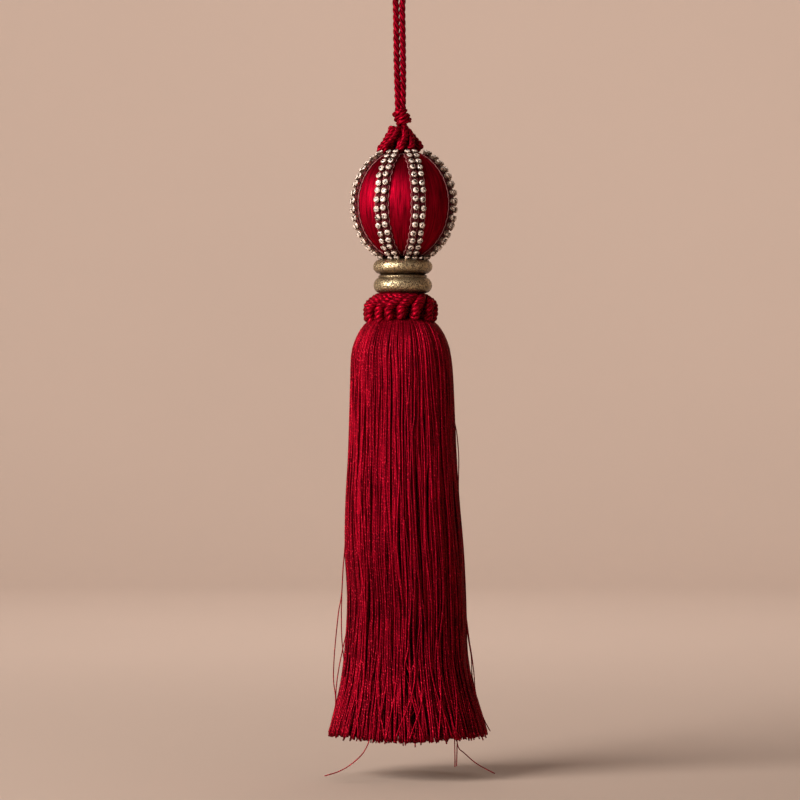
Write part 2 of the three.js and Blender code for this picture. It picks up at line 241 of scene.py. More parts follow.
# Outside of the hanging skirt, (radius, swing of its middle to +X, height), with one section below the hem
SKIRT_SECTIONS = (
    (10.0, 0.0, -145.4), (12.2, 0.0, -146.2), (13.9, 0.1, -147.3), (15.1, 0.1, -148.7), (16.5, 0.1, -150.6),
    (17.8, 0.1, -153.3), (18.9, 0.1, -156.2), (19.8, 0.1, -160.5), (20.4, 0.4, -170.0), (21.4, 0.6, -198.0),
    (22.6, 0.7, -218.0), (23.6, 1.4, -238.0), (23.6, 2.4, -258.0), (24.4, 2.1, -278.0), (26.1, 2.3, -290.0),
    (28.1, 2.6, -298.0), (29.9, 2.8, -304.5), (31.5, 2.95, -310.5), (33.4, 3.2, -317.0),
)
HEM_HEIGHT = -311.5
# How much lower the hem hangs at the front, how far that place is turned towards -X, and the start and
# span of the cosine over which it sinks
HEM_DROP = 0.9
HEM_TURN = 0.07
HEM_FRONT = (0.78, 0.22)
# The share of the ends that were cut too long, and by how much
LONG_SHARE = 0.08
LONG_ENDS = (0.4, 1.5)
SKIRT_SEED = 20
# Layers of the skirt from the outside in. Rows are the points along a thread, and gather and swell are
# shares of the clumping and of a thread's thickness. The tone is painted shade, darker for deeper layers
SKIRT_LAYERS = (
    {"name": "skirt_outer", "locks": 76, "threads": 6, "depth": (0.0, 1.4), "rows": 40, "sides": 5,
     "tone": -0.08, "gather": 1.0, "swell": 1.0},
    {"name": "skirt_middle", "locks": 58, "threads": 11, "depth": (1.8, 5.0), "rows": 27, "sides": 3,
     "tone": -0.18, "gather": 0.6, "swell": 1.3},
    {"name": "skirt_inner", "locks": 40, "threads": 10, "depth": (4.5, 12.0), "rows": 20, "sides": 3,
     "tone": -0.35, "gather": 0.3, "swell": 1.6},
)
# Where along a thread each of its ways sets in, as (start, span) shares of its length: depths, scatter at
# the hem, jitter, clumping and letting go, sways, splay, standing proud and the painted shade at the hem
DEPTH_ONSET = (0, 0.12)
LOCK_DEPTH_ONSET = (0, 0.3)
SCATTER_ONSET = (0.8, 0.2)
JITTER_ONSET = (0, 0.4)
CLUMP_ONSET = (0, 0.35)
RELEASE_ONSET = (0.82, 0.18)
LOCK_SWAY_ONSET = (0, 0.25)
THREAD_SWAY_ONSET = (0, 0.3)
SPLAY_ONSET = (0.74, 0.26)
PROUD_ONSET = (0, 0.1)
HEM_SHADE_ONSET = (0.3, 0.6)
# Depths: the share that a thread has at the top, the most that a lock adds, the scatter at the hem,
# and the most that a thread may stand out
TOP_DEPTH = 0.35
LOCK_DEPTH = 0.7
HEM_SCATTER = 0.5
MOST_PROUD = 0.6
# Locks: jitter and spread as shares of the gap between them, the least share of the clumping that one
# takes, the share let go at the hem, sways as (waves along a thread, reach) and a thread's own reach
LOCK_JITTER = 0.4
LOCK_SPREAD = 0.18
LEAST_CLUMP = 0.35
RELEASE = 0.75
LOCK_SWAYS = ((1.3, 0.26), (3.1, 0.15))
THREAD_SWAY = 0.2
# Splay at the hem, and the least radius that turns a distance round the skirt into an angle
SPLAY = 2.1
LEAST_RADIUS = 15
# The share by which a thread's points lie closer together at its ends
END_CROWDING = 0.6
# The share of the outer threads that lie proud of the others, with their drift, the angle that its wave
# has at the hem, and their depth
PROUD_SHARE = 0.25
PROUD_DRIFT = 1.4
PROUD_WAVE = (2, 6)
PROUD_DEPTH = 0.2
# Tones: scatter of the threads and of the locks, waves along a thread and their reach, and painted shade
# that darkens the threads towards the hem
TONE_SCATTER = 0.12
LOCK_TONE_SCATTER = 0.06
TONE_WAVES = (7, 13)
TONE_REACH = 0.1
PAINTED_HEM_SHADE = 0.17
# The bound neck and the heart of the bundle under the threads, (radius, height)
BUNDLE_PROFILE = (
    (0, -135.3), (8.9, -135.3), (8.9, -147.6), (10.6, -148.4), (10.6, -151), (12, -160), (13.5, -210),
    (15, -270), (13, -288), (8, -294), (0, -296),
)
# Dark partings between locks: degrees from the front, height, half length, half width and push
SKIRT_PARTINGS = (
    (8, -171, 6, 1.3, 0.45), (-1, -176, 8, 1.2, 0.35), (36, -170, 16, 1.4, 0.6), (12, -188, 8, 1.3, 0.45),
    (26, -184, 6, 1.3, 0.45), (19, -194, 9, 1.3, 0.45), (-12, -193, 5, 1.2, 0.35), (-37, -189, 5, 1.2, 0.35),
    (42, -209, 9, 1.4, 0.5), (27, -208, 8, 1.3, 0.45), (14, -236, 14, 1.3, 0.45), (-20, -240, 12, 1.2, 0.35),
    (33, -256, 12, 1.4, 0.5), (1, -284, 7, 1.5, 0.6), (19, -281, 7, 1.4, 0.5), (41, -289, 8, 1.5, 0.6),
    (-11, -291, 5, 1.3, 0.4), (4, -302, 6, 2.0, 1.2),
)
# Threads that lie across the others near the hem: degrees at the top and at the hem, and the height at
# which they leave
CROSSING_THREADS = (
    (8, -9, -284), (13, 1, -292), (-26, -17, -288), (22, 33, -280), (31, 22, -286), (-47, -38, -290),
    (-8, -16, -282), (46, 36, -290), (-60, -68, -286), (3, 11, -290), (-26.2, -26.2, -290),
    (18.3, 18.3, -290), (-13.2, -10, -190), (77.8, 76.6, -290),
)
# Threads that have slipped below the hem, (x, y, z) each
LOOSE_TAILS = (
    ((-10.4, -25.0, -303.0), (-11.3, -28.4, -310.4), (-14.0, -29.5, -316.4), (-18.8, -29.3, -321.0),
     (-23.6, -29.0, -323.8), (-29.2, -29.0, -325.6)),
    ((21.5, -19.0, -303.0), (21.9, -19.4, -311.0), (22.1, -19.5, -319.0), (22.1, -19.5, -323.0)),
    ((22.9, -17.0, -303.0), (23.0, -17.4, -311.0), (22.9, -17.5, -318.0), (22.8, -17.5, -322.8)),
    ((22.4, -14.0, -303.0), (23.2, -14.6, -314.6), (26.0, -14.8, -318.0), (30.4, -14.8, -321.8),
     (34.8, -14.8, -324.4), (38.0, -14.8, -326.0)),
)
# Threads that bow out at the sides and come back in further down, (x, y, z) each
STRAY_THREADS = (
    ((-20.6, 0.5, -222.0), (-21.1, 0.5, -230.6), (-21.6, 0.5, -238.0), (-22.4, 0.5, -245.4),
     (-23.0, 0.4, -256.0), (-24.2, 0.4, -263.0), (-25.4, 0.4, -274.4), (-26.0, 0.3, -282.1),
     (-26.2, 0.2, -290.0), (-25.4, 0.1, -297.0), (-25.8, 0.0, -303.0), (-28.2, 0.0, -310.8)),
    ((-20.8, -1.5, -224.0), (-21.2, -1.5, -231.2), (-22.3, -1.6, -245.2), (-22.9, -1.7, -257.4),
     (-23.0, -1.8, -266.0), (-22.8, -1.8, -274.0), (-22.0, -1.6, -282.0), (-21.4, -1.4, -290.0)),
    ((-20.4, -2.5, -262.0), (-21.1, -2.6, -270.8), (-22.4, -2.8, -277.0), (-24.2, -3.0, -286.2),
     (-25.1, -3.1, -293.4), (-25.4, -3.2, -300.0), (-27.4, -3.4, -309.4)),
    ((26.6, -1.0, -262.0), (28.1, -1.0, -274.0), (29.2, -1.1, -280.9), (30.0, -1.2, -287.8),
     (30.4, -1.4, -293.3), (31.6, -1.6, -298.8), (33.8, -1.8, -305.2), (36.4, -2.0, -310.3)),
    ((26.4, -2.0, -262.0), (27.5, -2.0, -272.0), (28.9, -2.1, -281.0), (29.2, -2.2, -288.0),
     (30.3, -2.3, -294.0), (30.9, -2.4, -299.0), (33.0, -2.6, -305.5), (35.0, -2.8, -310.5)),
    ((22.0, -0.5, -186.0), (22.9, -0.5, -190.0), (23.4, -0.6, -194.0), (23.8, -0.7, -199.0),
     (23.9, -0.8, -204.0), (23.8, -0.9, -209.0), (23.8, -1.0, -216.0)),
)
# Radii of the crossing and of the loose threads, as shares of a thread's diameter and radius, and tones
CROSSING_RADIUS = 0.4
CROSSING_TONE = 0.12
LOOSE_RADIUS = 0.75
LOOSE_TONE = -0.1
# A crossing thread's depth at the top, how far it comes out, and how far above its crossing it does
CROSSING_DEPTH = 0.8
CROSSING_OUT = 1.1
CROSSING_RISE = 20
# Its turn: the span as a share of the way to the hem, and the size as a share of the angle between its ends
CROSSING_SPAN = 1.2
CROSSING_SIZE = 1.1


def length_setting(name, description, millimetres):
    """A length that a user may change."""
    return FloatProperty(name=name, description=description, default=millimetres * MM, unit="LENGTH")


def angle_setting(name, description, radians):
    """An angle that a user may change."""
    return FloatProperty(name=name, description=description, default=radians, subtype="ANGLE")


def power_setting(name, description, watts):
    """A lamp's power that a user may change."""
    return FloatProperty(name=name, description=description, default=watts, unit="POWER")


def colour_setting(name, description, colour):
    """A colour that a user may change, as linear values."""
    return FloatVectorProperty(name=name, description=description, default=colour, subtype="COLOR", size=3)


class TasselCords(bpy.types.PropertyGroup):
    """Sizes of the twisted cords."""

    hanging: length_setting("Hanging cord", "Diameter of the cord that the tassel hangs by", 2.2)
    hanging_swell: FloatProperty(
        name="Hanging cord swell", description="How much wider its slack plies stand than its diameter",
        default=1.22, min=1.0)
    hanging_pitch: length_setting("Hanging cord pitch", "Length of one full twist of its plies", 8.6)
    knot: length_setting("Knot cord", "Diameter of the cord where the knot squeezes it", 2.2)
    crown: length_setting("Crown cord", "Diameter of the cord that the crown's loops are made of", 2.7)
    crown_loops: IntProperty(
        name="Crown loops", description="Number of loops round the crown", default=9, min=3)
    crown_lean: angle_setting("Crown lean", "How far a loop turns between the neck and the rim", 0.7)
    ruff: length_setting("Ruff cord", "Diameter of the tight cord that is coiled into the ruff", 3.9)
    ruff_pitch: length_setting("Ruff cord pitch", "Length of one full twist of its plies", 3.4)
    ruff_lean: angle_setting("Ruff lean", "How far a turn of the ruff leans over at its top", 0.78)


class TasselBall(bpy.types.PropertyGroup):
    """Sizes of the covered ball and of its crystal chains."""

    ridge: length_setting("Floss ridge", "Height of the ridges between the strands of floss", 0.09)
    rows: IntProperty(name="Rows", description="Rows of stones down each chain", default=16, min=2)
    first_row: angle_setting("First row", "Angle of the top row from the ball's top", math.radians(28.0))
    last_row: angle_setting("Last row", "Angle of the bottom row from the ball's top", math.radians(153.6))
    stone: length_setting("Stone", "Diameter of one crystal in its cup", 2.5)
    columns: length_setting("Column spacing", "Distance between the two columns of a chain", 2.75)
    net: length_setting("Net width", "Width of the net that carries the stones", 5.5)


class TasselSkirt(bpy.types.PropertyGroup):
    """Sizes of the skirt's threads."""

    thread: length_setting("Thread", "Diameter of one thread", 0.6)
    hem: length_setting("Uneven hem", "Spread of the cut ends about the hem", 0.5)
    clump: FloatProperty(
        name="Clumping", description="How far the threads draw together into locks",
        default=0.48, subtype="FACTOR", min=0, max=1)


class TasselColours(bpy.types.PropertyGroup):
    """Colours of the finishes."""

    # Deep and bright red give the silk its random tone and paint shade into the hollows of the twist and
    # highlight onto its crests; deep red also streaks the floss
    deep_red: colour_setting("Deep red", "Silk in the hollows of its twist", (0.08, 0.0006, 0.004))
    bright_red: colour_setting("Bright red", "Silk on its crests", (0.38, 0.002, 0.016))
    # Glints are painted highlights on the crests of the threads' twist
    glint: colour_setting("Glint", "Small glints on the crests of the skirt's threads", (1.0, 0.03, 0.07))
    floss_red: colour_setting("Floss red", "Satin floss on the ball", (0.36, 0.0012, 0.016))
    gilt: colour_setting("Gilt", "Rubbed gold leaf", (0.9, 0.72, 0.42))
    # Bole also colours the patina in the rings' hollows and the painted shade on their undersides
    bole_and_shade: colour_setting("Bole", "Brown ground that shows in the pits of the leaf", (0.06, 0.032, 0.014))
    # The crystal colour is the painted reflection on the brightest facets
    crystal: colour_setting("Crystal", "Brightest facets of the stones", (0.9, 0.75, 0.65))
    cup: colour_setting("Cup", "Metal of the cups that hold the stones", (0.72, 0.53, 0.4))
    net: colour_setting("Net", "Pale net that carries the stones", (0.45, 0.18, 0.175))
    # The net ground is dark thread that also paints the shade under and between the stones
    ground: colour_setting("Net ground", "Dark thread behind the net", (0.11, 0.0025, 0.009))
    floor: colour_setting("Floor", "Plain pale floor and wall", (0.52, 0.40, 0.33))


class TasselStage(bpy.types.PropertyGroup):
    """Camera, floor and lights."""

    distance: length_setting("Camera distance", "From the camera to the tassel's middle", 1560)
    view_height: length_setting("View height", "Height that the level camera looks at", -178)
    view_width: length_setting("View width", "Width of the view at the tassel's middle", 320)
    floor: length_setting("Floor height", "Height of the floor under the loose threads", -328.5)
    key: power_setting("Key light", "Power of the key light", 37.0)
    fill: power_setting("Fill light", "Power of the fill light", 0.7)
    wall: power_setting("Wall light", "Power of the light on the wall", 28.0)


def unit(arrows):
    """Vectors of length one."""
    return arrows / np.linalg.norm(arrows, axis=-1, keepdims=True)


def around(angle):
    """Level directions at angles from the front, towards +X."""
    return np.stack([np.sin(angle), -np.cos(angle), np.zeros_like(angle)], axis=-1)


def ease(value, start=0.0, span=1.0):
    """A smooth step from 0 to 1 that begins at a start and takes a span."""
    share = np.clip((value - start) / span, 0, 1)
    return share * share * (3 - 2 * share)


def lengths(line):
    """Distance along a line at each of its points."""
    steps = np.linalg.norm(np.diff(line, axis=-2), axis=-1)
    return np.concatenate([np.zeros_like(steps[..., :1]), np.cumsum(steps, axis=-1)], axis=-1)


def even_line(line, spacing):
    """The same line with points about this far apart."""
    along = lengths(line)
    wanted = np.linspace(0, along[-1], math.ceil(along[-1] / spacing) + 1)
    return np.stack([np.interp(wanted, along, column) for column in line.T], axis=1)


def smooth_line(points, spacing):
    """Evenly spaced points along a smooth curve through a few points."""
    points = np.asarray(points, float)
    ends = np.vstack([2 * points[0] - points[1], points, 2 * points[-1] - points[-2]])
    share = np.linspace(0, 1, 24, endpoint=False)[:, None]
    spans = []
    for a, b, c, d in zip(ends, ends[1:], ends[2:], ends[3:]):
        bend = 2 * a - 5 * b + 4 * c - d
        swing = 3 * b - a - 3 * c + d
        spans.append(b + 0.5 * ((c - a) * share + bend * share**2 + swing * share**3))
    return even_line(np.vstack([*spans, points[-1:]]), spacing)


def frames(lines):
    """Directions across and over each line, carried along without twisting."""
    along = unit(np.gradient(lines, axis=1))
    across = np.empty_like(along)
    start = np.where(np.abs(along[:, :1, 1]) < 0.8, [[0.0, 1.0, 0.0]], [[1.0, 0.0, 0.0]])
    for step in range(lines.shape[1]):
        ahead = along[:, step]
        start = unit(start - (start * ahead).sum(axis=-1, keepdims=True) * ahead)
        across[:, step] = start
    return across, np.cross(along, across)


class Shape:
    """Corners and faces of many small closed bodies, gathered to become one mesh."""

    def __init__(self):
        self.corners = []
        self.faces = []
        self.total = 0

    def place(self, corners):
        """Adds corners and returns the number of the first."""
        first = self.total
        self.corners.append(corners.reshape(-1, 3))
        self.total += len(self.corners[-1])
        return first

    def cover(self, faces, uvs=None, tones=0.0, finish=0, smooth=True):
        """Adds faces of equally many corners, with a UV for each of them and a tone for each face."""
        count, size = faces.shape
        uvs = np.zeros((count, size, 2)) if uvs is None else uvs
        tones = np.broadcast_to(tones, count)
        self.faces.append((faces, uvs, tones, np.full(count, finish), np.full(count, smooth)))

    def build(self, name, *materials):
        """Makes the object, with the tones as an attribute of its faces."""
        mesh = bpy.data.meshes.new(name)
        corners = np.concatenate(self.corners)
        faces, uvs, tones, finishes, smooths = zip(*self.faces)
        sizes = np.concatenate([np.full(len(group), group.shape[1]) for group in faces])
        loops = np.concatenate([group.ravel() for group in faces])
        mesh.vertices.add(len(corners))
        mesh.vertices.foreach_set("co", corners.ravel())
        mesh.loops.add(len(loops))
        mesh.loops.foreach_set("vertex_index", loops)
        mesh.polygons.add(len(sizes))
        mesh.polygons.foreach_set("loop_start", np.cumsum(sizes) - sizes)
        mesh.polygons.foreach_set("material_index", np.concatenate(finishes))
        mesh.polygons.foreach_set("use_smooth", np.concatenate(smooths))
        layer = mesh.uv_layers.new(name="UVMap")
        layer.data.foreach_set("uv", np.concatenate([group.ravel() for group in uvs]))
        tone = mesh.attributes.new("tone", "FLOAT", "FACE")
        tone.data.foreach_set("value", np.concatenate(tones))
        mesh.update(calc_edges=True)
        mesh.validate()
        return to_object(name, mesh, *materials)


def to_object(name, mesh, *materials):
    """Links a mesh to the scene as an object at the origin."""
    for material in materials:
        mesh.materials.append(material)
    made = bpy.data.objects.new(name, mesh)
    bpy.context.scene.collection.objects.link(made)
    return made


def piece(made, slot, *nodes):
    """Attaches a finished piece to the body that it rides on and hides the solids it stands for; slot is not
    used.
    """
    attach(made, BODY)
    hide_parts(*nodes)
    return made


def add_tubes(shape, lines, radius, sides, tones=0.0, finish=0, slip=0.0):
    """Closed round tubes along lines of equally many points. U runs along in metres, and V once round."""
    count, steps = lines.shape[:2]
    across, over = frames(lines)
    turn = FULL_TURN * np.arange(sides)[:, None] / sides
    rim = np.cos(turn) * across[:, :, None] + np.sin(turn) * over[:, :, None]
    first = shape.place(lines[:, :, None] + radius * rim)
    index = first + np.arange(count * steps * sides).reshape(count, steps, sides)
    after = np.roll(index, -1, axis=2)
    quads = np.stack([index[:, :-1], after[:, :-1], after[:, 1:], index[:, 1:]], axis=-1)
    side = np.broadcast_to(np.arange(sides) / sides, quads.shape[:3])
    along = (lengths(lines) + slip)[..., None]
    behind = np.broadcast_to(along[:, :-1], side.shape)
    ahead = np.broadcast_to(along[:, 1:], side.shape)
    u = np.stack([behind, behind, ahead, ahead], axis=-1)
    v = np.stack([side, side + 1 / sides, side + 1 / sides, side], axis=-1)
    tones = np.broadcast_to(tones, (count, steps - 1))
    uvs = np.stack([u, v], axis=-1).reshape(-1, 4, 2)
    shape.cover(quads.reshape(-1, 4), uvs, np.repeat(tones.ravel(), sides), finish)
    shape.cover(index[:, 0, ::-1], tones=tones[:, 0], finish=finish)
    shape.cover(index[:, -1], tones=tones[:, -1], finish=finish)


def add_cord(shape, line, diameter, pitch, plies=3, hand=1, sides=8, tones=0.0):
    """Plies wound round a line, which seen upright rise to the right with hand 1, to the left with -1."""
    ply = diameter / 2 / (1 + 1 / math.sin(math.pi / plies))
    across, over = frames(line[None])
    start = FULL_TURN * np.arange(plies)[:, None] / plies
    turn = (start + hand * FULL_TURN * lengths(line) / pitch)[..., None]
    middle = diameter / 2 - ply
    add_tubes(shape, line + middle * (np.cos(turn) * across[0] + np.sin(turn) * over[0]), ply, sides, tones)


def feed(made, inputs):
    """Sets a node's inputs, each to a value or to the output of another node."""
    for key, value in inputs.items():
        if isinstance(value, bpy.types.NodeSocket):
            made.id_data.links.new(value, made.inputs[key])
        else:
            made.inputs[key].default_value = value
    return made


def node(tree, kind, inputs=None, **settings):
    """Adds a shader node with these settings and inputs."""
    made = tree.nodes.new("ShaderNode" + kind)
    for name, value in settings.items():
        setattr(made, name, value)
    return feed(made, inputs or {})


def maths(tree, operation, first, second=0.0):
    """One step of arithmetic on two values."""
    return node(tree, "Math", {0: first, 1: second}, operation=operation).outputs[0]


def vectors(tree, operation, first, second=None):
    """One step of arithmetic on vectors."""
    inputs = {0: first} if second is None else {0: first, 1: second}
    return node(tree, "VectorMath", inputs, operation=operation).outputs[0]


def weighed(tree, first, second, share):
    """A mean of two values, in which the first has this share."""
    part = maths(tree, "MULTIPLY", first, share)
    return maths(tree, "ADD", part, maths(tree, "MULTIPLY", second, 1 - share))


def spread(tree, value, low, high, to_low=0.0, to_high=1.0):
    """A value's range between low and high, stretched to another range."""
    inputs = {"Value": value, "From Min": low, "From Max": high, "To Min": to_low, "To Max": to_high}
    return node(tree, "MapRange", inputs).outputs["Result"]


def noise_value(tree, place, scale, detail, roughness=0.5):
    """Soft noise at a place."""
    inputs = {"Vector": place, "Scale": scale, "Detail": detail, "Roughness": roughness}
    return node(tree, "TexNoise", inputs).outputs[0]


def blend(tree, share, first, second):
    """A colour between two colours."""
    factor, colour_a, colour_b, mixed = 0, 6, 7, 2
    inputs = {factor: share, colour_a: first, colour_b: second}
    return node(tree, "Mix", inputs, data_type="RGBA").outputs[mixed]


def opaque(colour, strength=1.0):
    """A colour at a strength, with full alpha."""
    return (*(strength * part for part in colour), 1.0)


def tone_value(tree):
    """The tone that each face carries."""
    return node(tree, "Attribute", attribute_name="tone").outputs["Fac"]


def group_tree(name, inputs, outputs):
    """An empty node group with these value sockets, its input node and its output node."""
    tree = bpy.data.node_groups.new(name, "ShaderNodeTree")
    for labels, way in ((inputs, "INPUT"), (outputs, "OUTPUT")):
        for label in labels:
            tree.interface.new_socket(label, in_out=way, socket_type="NodeSocketFloat")
    return tree, tree.nodes.new("NodeGroupInput"), tree.nodes.new("NodeGroupOutput")


def spun_fibre_group():
    """Fine fibres that wind round a strand: height, shade and glint, read from the strand's UV map."""
    name = "Spun fibre"
    if name in bpy.data.node_groups:
        return bpy.data.node_groups[name]
    tree, given, result = group_tree(name, ("Pitch", "Fibres"), ("Height", "Shade", "Glint"))
    place = node(tree, "SeparateXYZ", {0: node(tree, "TexCoord").outputs["UV"]})
    along, turned = place.outputs["X"], place.outputs["Y"]
    spot = node(tree, "CombineXYZ", {0: along, 1: maths(tree, "MULTIPLY", turned, MM)}).outputs[0]
    slack = maths(tree, "MULTIPLY", noise_value(tree, spot, scale=150.0, detail=0.0), 3.0)
    turns = maths(tree, "ADD", maths(tree, "DIVIDE", along, given.outputs["Pitch"]), slack)
    strands = maths(tree, "MULTIPLY", turned, given.outputs["Fibres"])
    phase = maths(tree, "MULTIPLY", maths(tree, "ADD", turns, strands), FULL_TURN)
    height = spread(tree, maths(tree, "SINE", phase), -1.0, 1.0)
    flecks = noise_value(tree, spot, scale=850.0, detail=2.0)
    shade = weighed(tree, height, spread(tree, flecks, 0.32, 0.68), share=0.45)
    glint = spread(tree, maths(tree, "MULTIPLY", height, flecks), 0.5, 0.62)
    feed(result, {"Height": height, "Shade": shade, "Glint": glint})
    return tree


def rubbed_leaf_group():
    """Rubbed metal leaf: where the ground shows through, where it is polished, and its pitted height."""
    name = "Rubbed leaf"
    if name in bpy.data.node_groups:
        return bpy.data.node_groups[name]
    tree, given, result = group_tree(name, ("Scale", "Wear"), ("Ground", "Polish", "Height"))
    place = vectors(tree, "SCALE", node(tree, "TexCoord").outputs["Object"])
    feed(place.node, {"Scale": given.outputs["Scale"]})
    patches = noise_value(tree, place, scale=0.9, detail=3.0, roughness=0.6)
    grain = noise_value(tree, place, scale=3.6, detail=3.0, roughness=0.65)
    cells = node(tree, "TexVoronoi", {"Vector": place, "Scale": 2.6, "Randomness": 1.0})
    pits = spread(tree, cells.outputs["Distance"], 0.16, 0.34, 1.0, 0.0)
    pits = maths(tree, "MULTIPLY", pits, spread(tree, patches, 0.4, 0.55))
    rubbed = spread(tree, maths(tree, "ADD", grain, patches), 1.0, 1.12)
    ground = maths(tree, "MULTIPLY", maths(tree, "MAXIMUM", pits, rubbed), given.outputs["Wear"])
    polish = spread(tree, grain, 0.62, 0.36)
    height = maths(tree, "SUBTRACT", maths(tree, "MULTIPLY", polish, 0.6), ground)
    feed(result, {"Ground": ground, "Polish": polish, "Height": height})
    return tree


def new_material(name, constants):
    """A Principled material with these constant sockets: itself, its tree and its shader."""
    made = bpy.data.materials.new(name)
    made.use_nodes = True
    shader = made.node_tree.nodes["Principled BSDF"]
    return made, made.node_tree, feed(shader, constants)


def bump(tree, height, distance, strength=1.0):
    """A normal raised by a height."""
    return node(tree, "Bump", {"Height": height, "Distance": distance, "Strength": strength}).outputs[0]


def silk(name, colours, pitch, fibres, depth, roughness, contrast=1.0, glint=0.0):
    """Spun silk, with a tone for each strand and fibres wound round it."""
    if name in bpy.data.materials:
        return bpy.data.materials[name]
    made, tree, shader = new_material(name, {
        "Metallic": 0.45,
        "Roughness": roughness,
        "Specular IOR Level": 0.06,
        "Specular Tint": SILK_TINT,
    })
    fibre = node(tree, "Group", {"Pitch": pitch, "Fibres": fibres}, node_tree=spun_fibre_group()).outputs
    low, high = 0.5 - contrast / 2, 0.5 + contrast / 2
    # The fibres' shade paints shade into the hollows of the twist and highlight onto its crests; the tone
    # adds each strand's random tone
    share = maths(tree, "ADD", tone_value(tree), spread(tree, fibre["Shade"], 0.2, 0.85, low, high))
    colour = blend(tree, share, opaque(colours.deep_red), opaque(colours.bright_red))
    # Painted glints on the crests of the twist
    if glint:
        colour = blend(tree, maths(tree, "MULTIPLY", fibre["Glint"], glint), colour, opaque(colours.glint))
    feed(shader, {"Base Color": colour, "Normal": bump(tree, fibre["Height"], depth)})
    return made


def cord_silk(colours):
    """Silk of the cords, whose plies show their fine yarns."""
    return silk("cord_silk", colours, pitch=2.6 * MM, fibres=5.0, depth=0.025 * MM, roughness=0.38)


def thread_silk(colours):
    """Silk of the skirt's threads, whose twist glints."""
    return silk(
        "thread_silk", colours, pitch=1.2 * MM, fibres=1.0, depth=0.035 * MM, roughness=0.32,
        contrast=0.45, glint=0.5)


def floss_material(colours, centre):
    """Satin floss that runs from pole to pole of the ball."""
    made, tree, shader = new_material("floss_satin", {
        "Metallic": 0.9,
        "Specular IOR Level": 0.2,
        "Specular Tint": SILK_TINT,
        "Anisotropic": 0.65,
    })
    place = node(tree, "Mapping", {"Vector": node(tree, "TexCoord").outputs["Object"], "Location": -centre})
    level = vectors(tree, "NORMALIZE", vectors(tree, "MULTIPLY", place.outputs[0], (1.0, 1.0, 0.0)))
    drift = vectors(tree, "MULTIPLY", place.outputs[0], (0.0, 0.0, 130.0))
    fibres = []
    for fineness in (16.0, 62.0):
        spot = vectors(tree, "ADD", vectors(tree, "MULTIPLY", level, (fineness,) * 3), drift)
        fibres.append(noise_value(tree, spot, scale=1.0, detail=3.0))
    shade = weighed(tree, *fibres, share=0.45)
    share = spread(tree, shade, 0.36, 0.62)
    feed(shader, {
        "Base Color": blend(tree, share, opaque(colours.deep_red), opaque(colours.floss_red)),
        "Roughness": spread(tree, shade, 0.35, 0.65, 0.62, 0.5),
        "Tangent": node(tree, "Tangent", direction_type="RADIAL", axis="Z").outputs[0],
        "Normal": bump(tree, shade, distance=0.25 * MM, strength=0.7),
    })
    return made


def gilt_material(name, gilt, bole_and_shade, scale, wear, depth):
    """Old gilding, rubbed and pitted down to its brown ground, darkened by a tone: patina and painted shade.
    """
    made, tree, shader = new_material(name, {"Specular IOR Level": 0.5})
    leaf = node(tree, "Group", {"Scale": scale, "Wear": wear}, node_tree=rubbed_leaf_group()).outputs
    rubbed = blend(tree, leaf["Polish"], opaque(gilt, strength=0.12), opaque(gilt))
    # Patina in the hollows and painted shade on the undersides, by the faces' tone
    aged_and_shaded = blend(tree, tone_value(tree), rubbed, opaque(bole_and_shade, strength=1.4))
    feed(shader, {
        "Base Color": blend(tree, leaf["Ground"], aged_and_shaded, opaque(bole_and_shade)),
        "Metallic": spread(tree, leaf["Ground"], 0.0, 1.0, 0.95, 0.3),
        "Roughness": spread(tree, leaf["Polish"], 0.0, 1.0, 0.45, 0.22),
        "Normal": bump(tree, leaf["Height"], depth),
    })
    return made


def crystal_material(colours):
    """Foil-backed cut crystal under a clear coat, with its reflections painted as a tone for each facet."""
    made, tree, shader = new_material("crystal", {
        "Roughness": 0.2,
        "Metallic": 0.05,
        "Coat Weight": 0.45,
        "Coat Roughness": 0.06,
    })
    # Painted reflections: the dark and the bright ends of the facets' tone
    dark, bright = opaque(colours.crystal, strength=0.02), opaque(colours.crystal)
    feed(shader, {"Base Color": blend(tree, tone_value(tree), dark, bright)})
    return made


def net_material(name, colour):
    """Matt spun thread of the net that carries the stones."""
    made, tree, shader = new_material(name, {"Roughness": 0.7, "Specular IOR Level": 0.2})
    fibre = node(tree, "Group", {"Pitch": 0.8 * MM, "Fibres": 2.0}, node_tree=spun_fibre_group()).outputs
    # The fibres' shade paints shade into the hollows of the net thread's twist
    shaded = blend(tree, fibre["Shade"], opaque(colour, strength=0.5), opaque(colour))
    feed(shader, {"Base Color": shaded, "Normal": bump(tree, fibre["Height"], distance=0.03 * MM)})
    return made


def floor_material(colours):
    """Plain pale paper."""
    made, tree, shader = new_material("pale_floor", {"Roughness": 0.85, "Specular IOR Level": 0.2})
    grain = noise_value(tree, node(tree, "TexCoord").outputs["Object"], scale=2.5, detail=2.0)
    shaded = blend(tree, grain, opaque(colours.floor, strength=0.94), opaque(colours.floor))
    feed(shader, {"Base Color": shaded})
    return made


def finished_mesh(name, made):
    """A smooth mesh from a bmesh, which is freed."""
    for face in made.faces:
        face.smooth = True
    mesh = bpy.data.meshes.new(name)
    made.to_mesh(mesh)
    made.free()
    return mesh


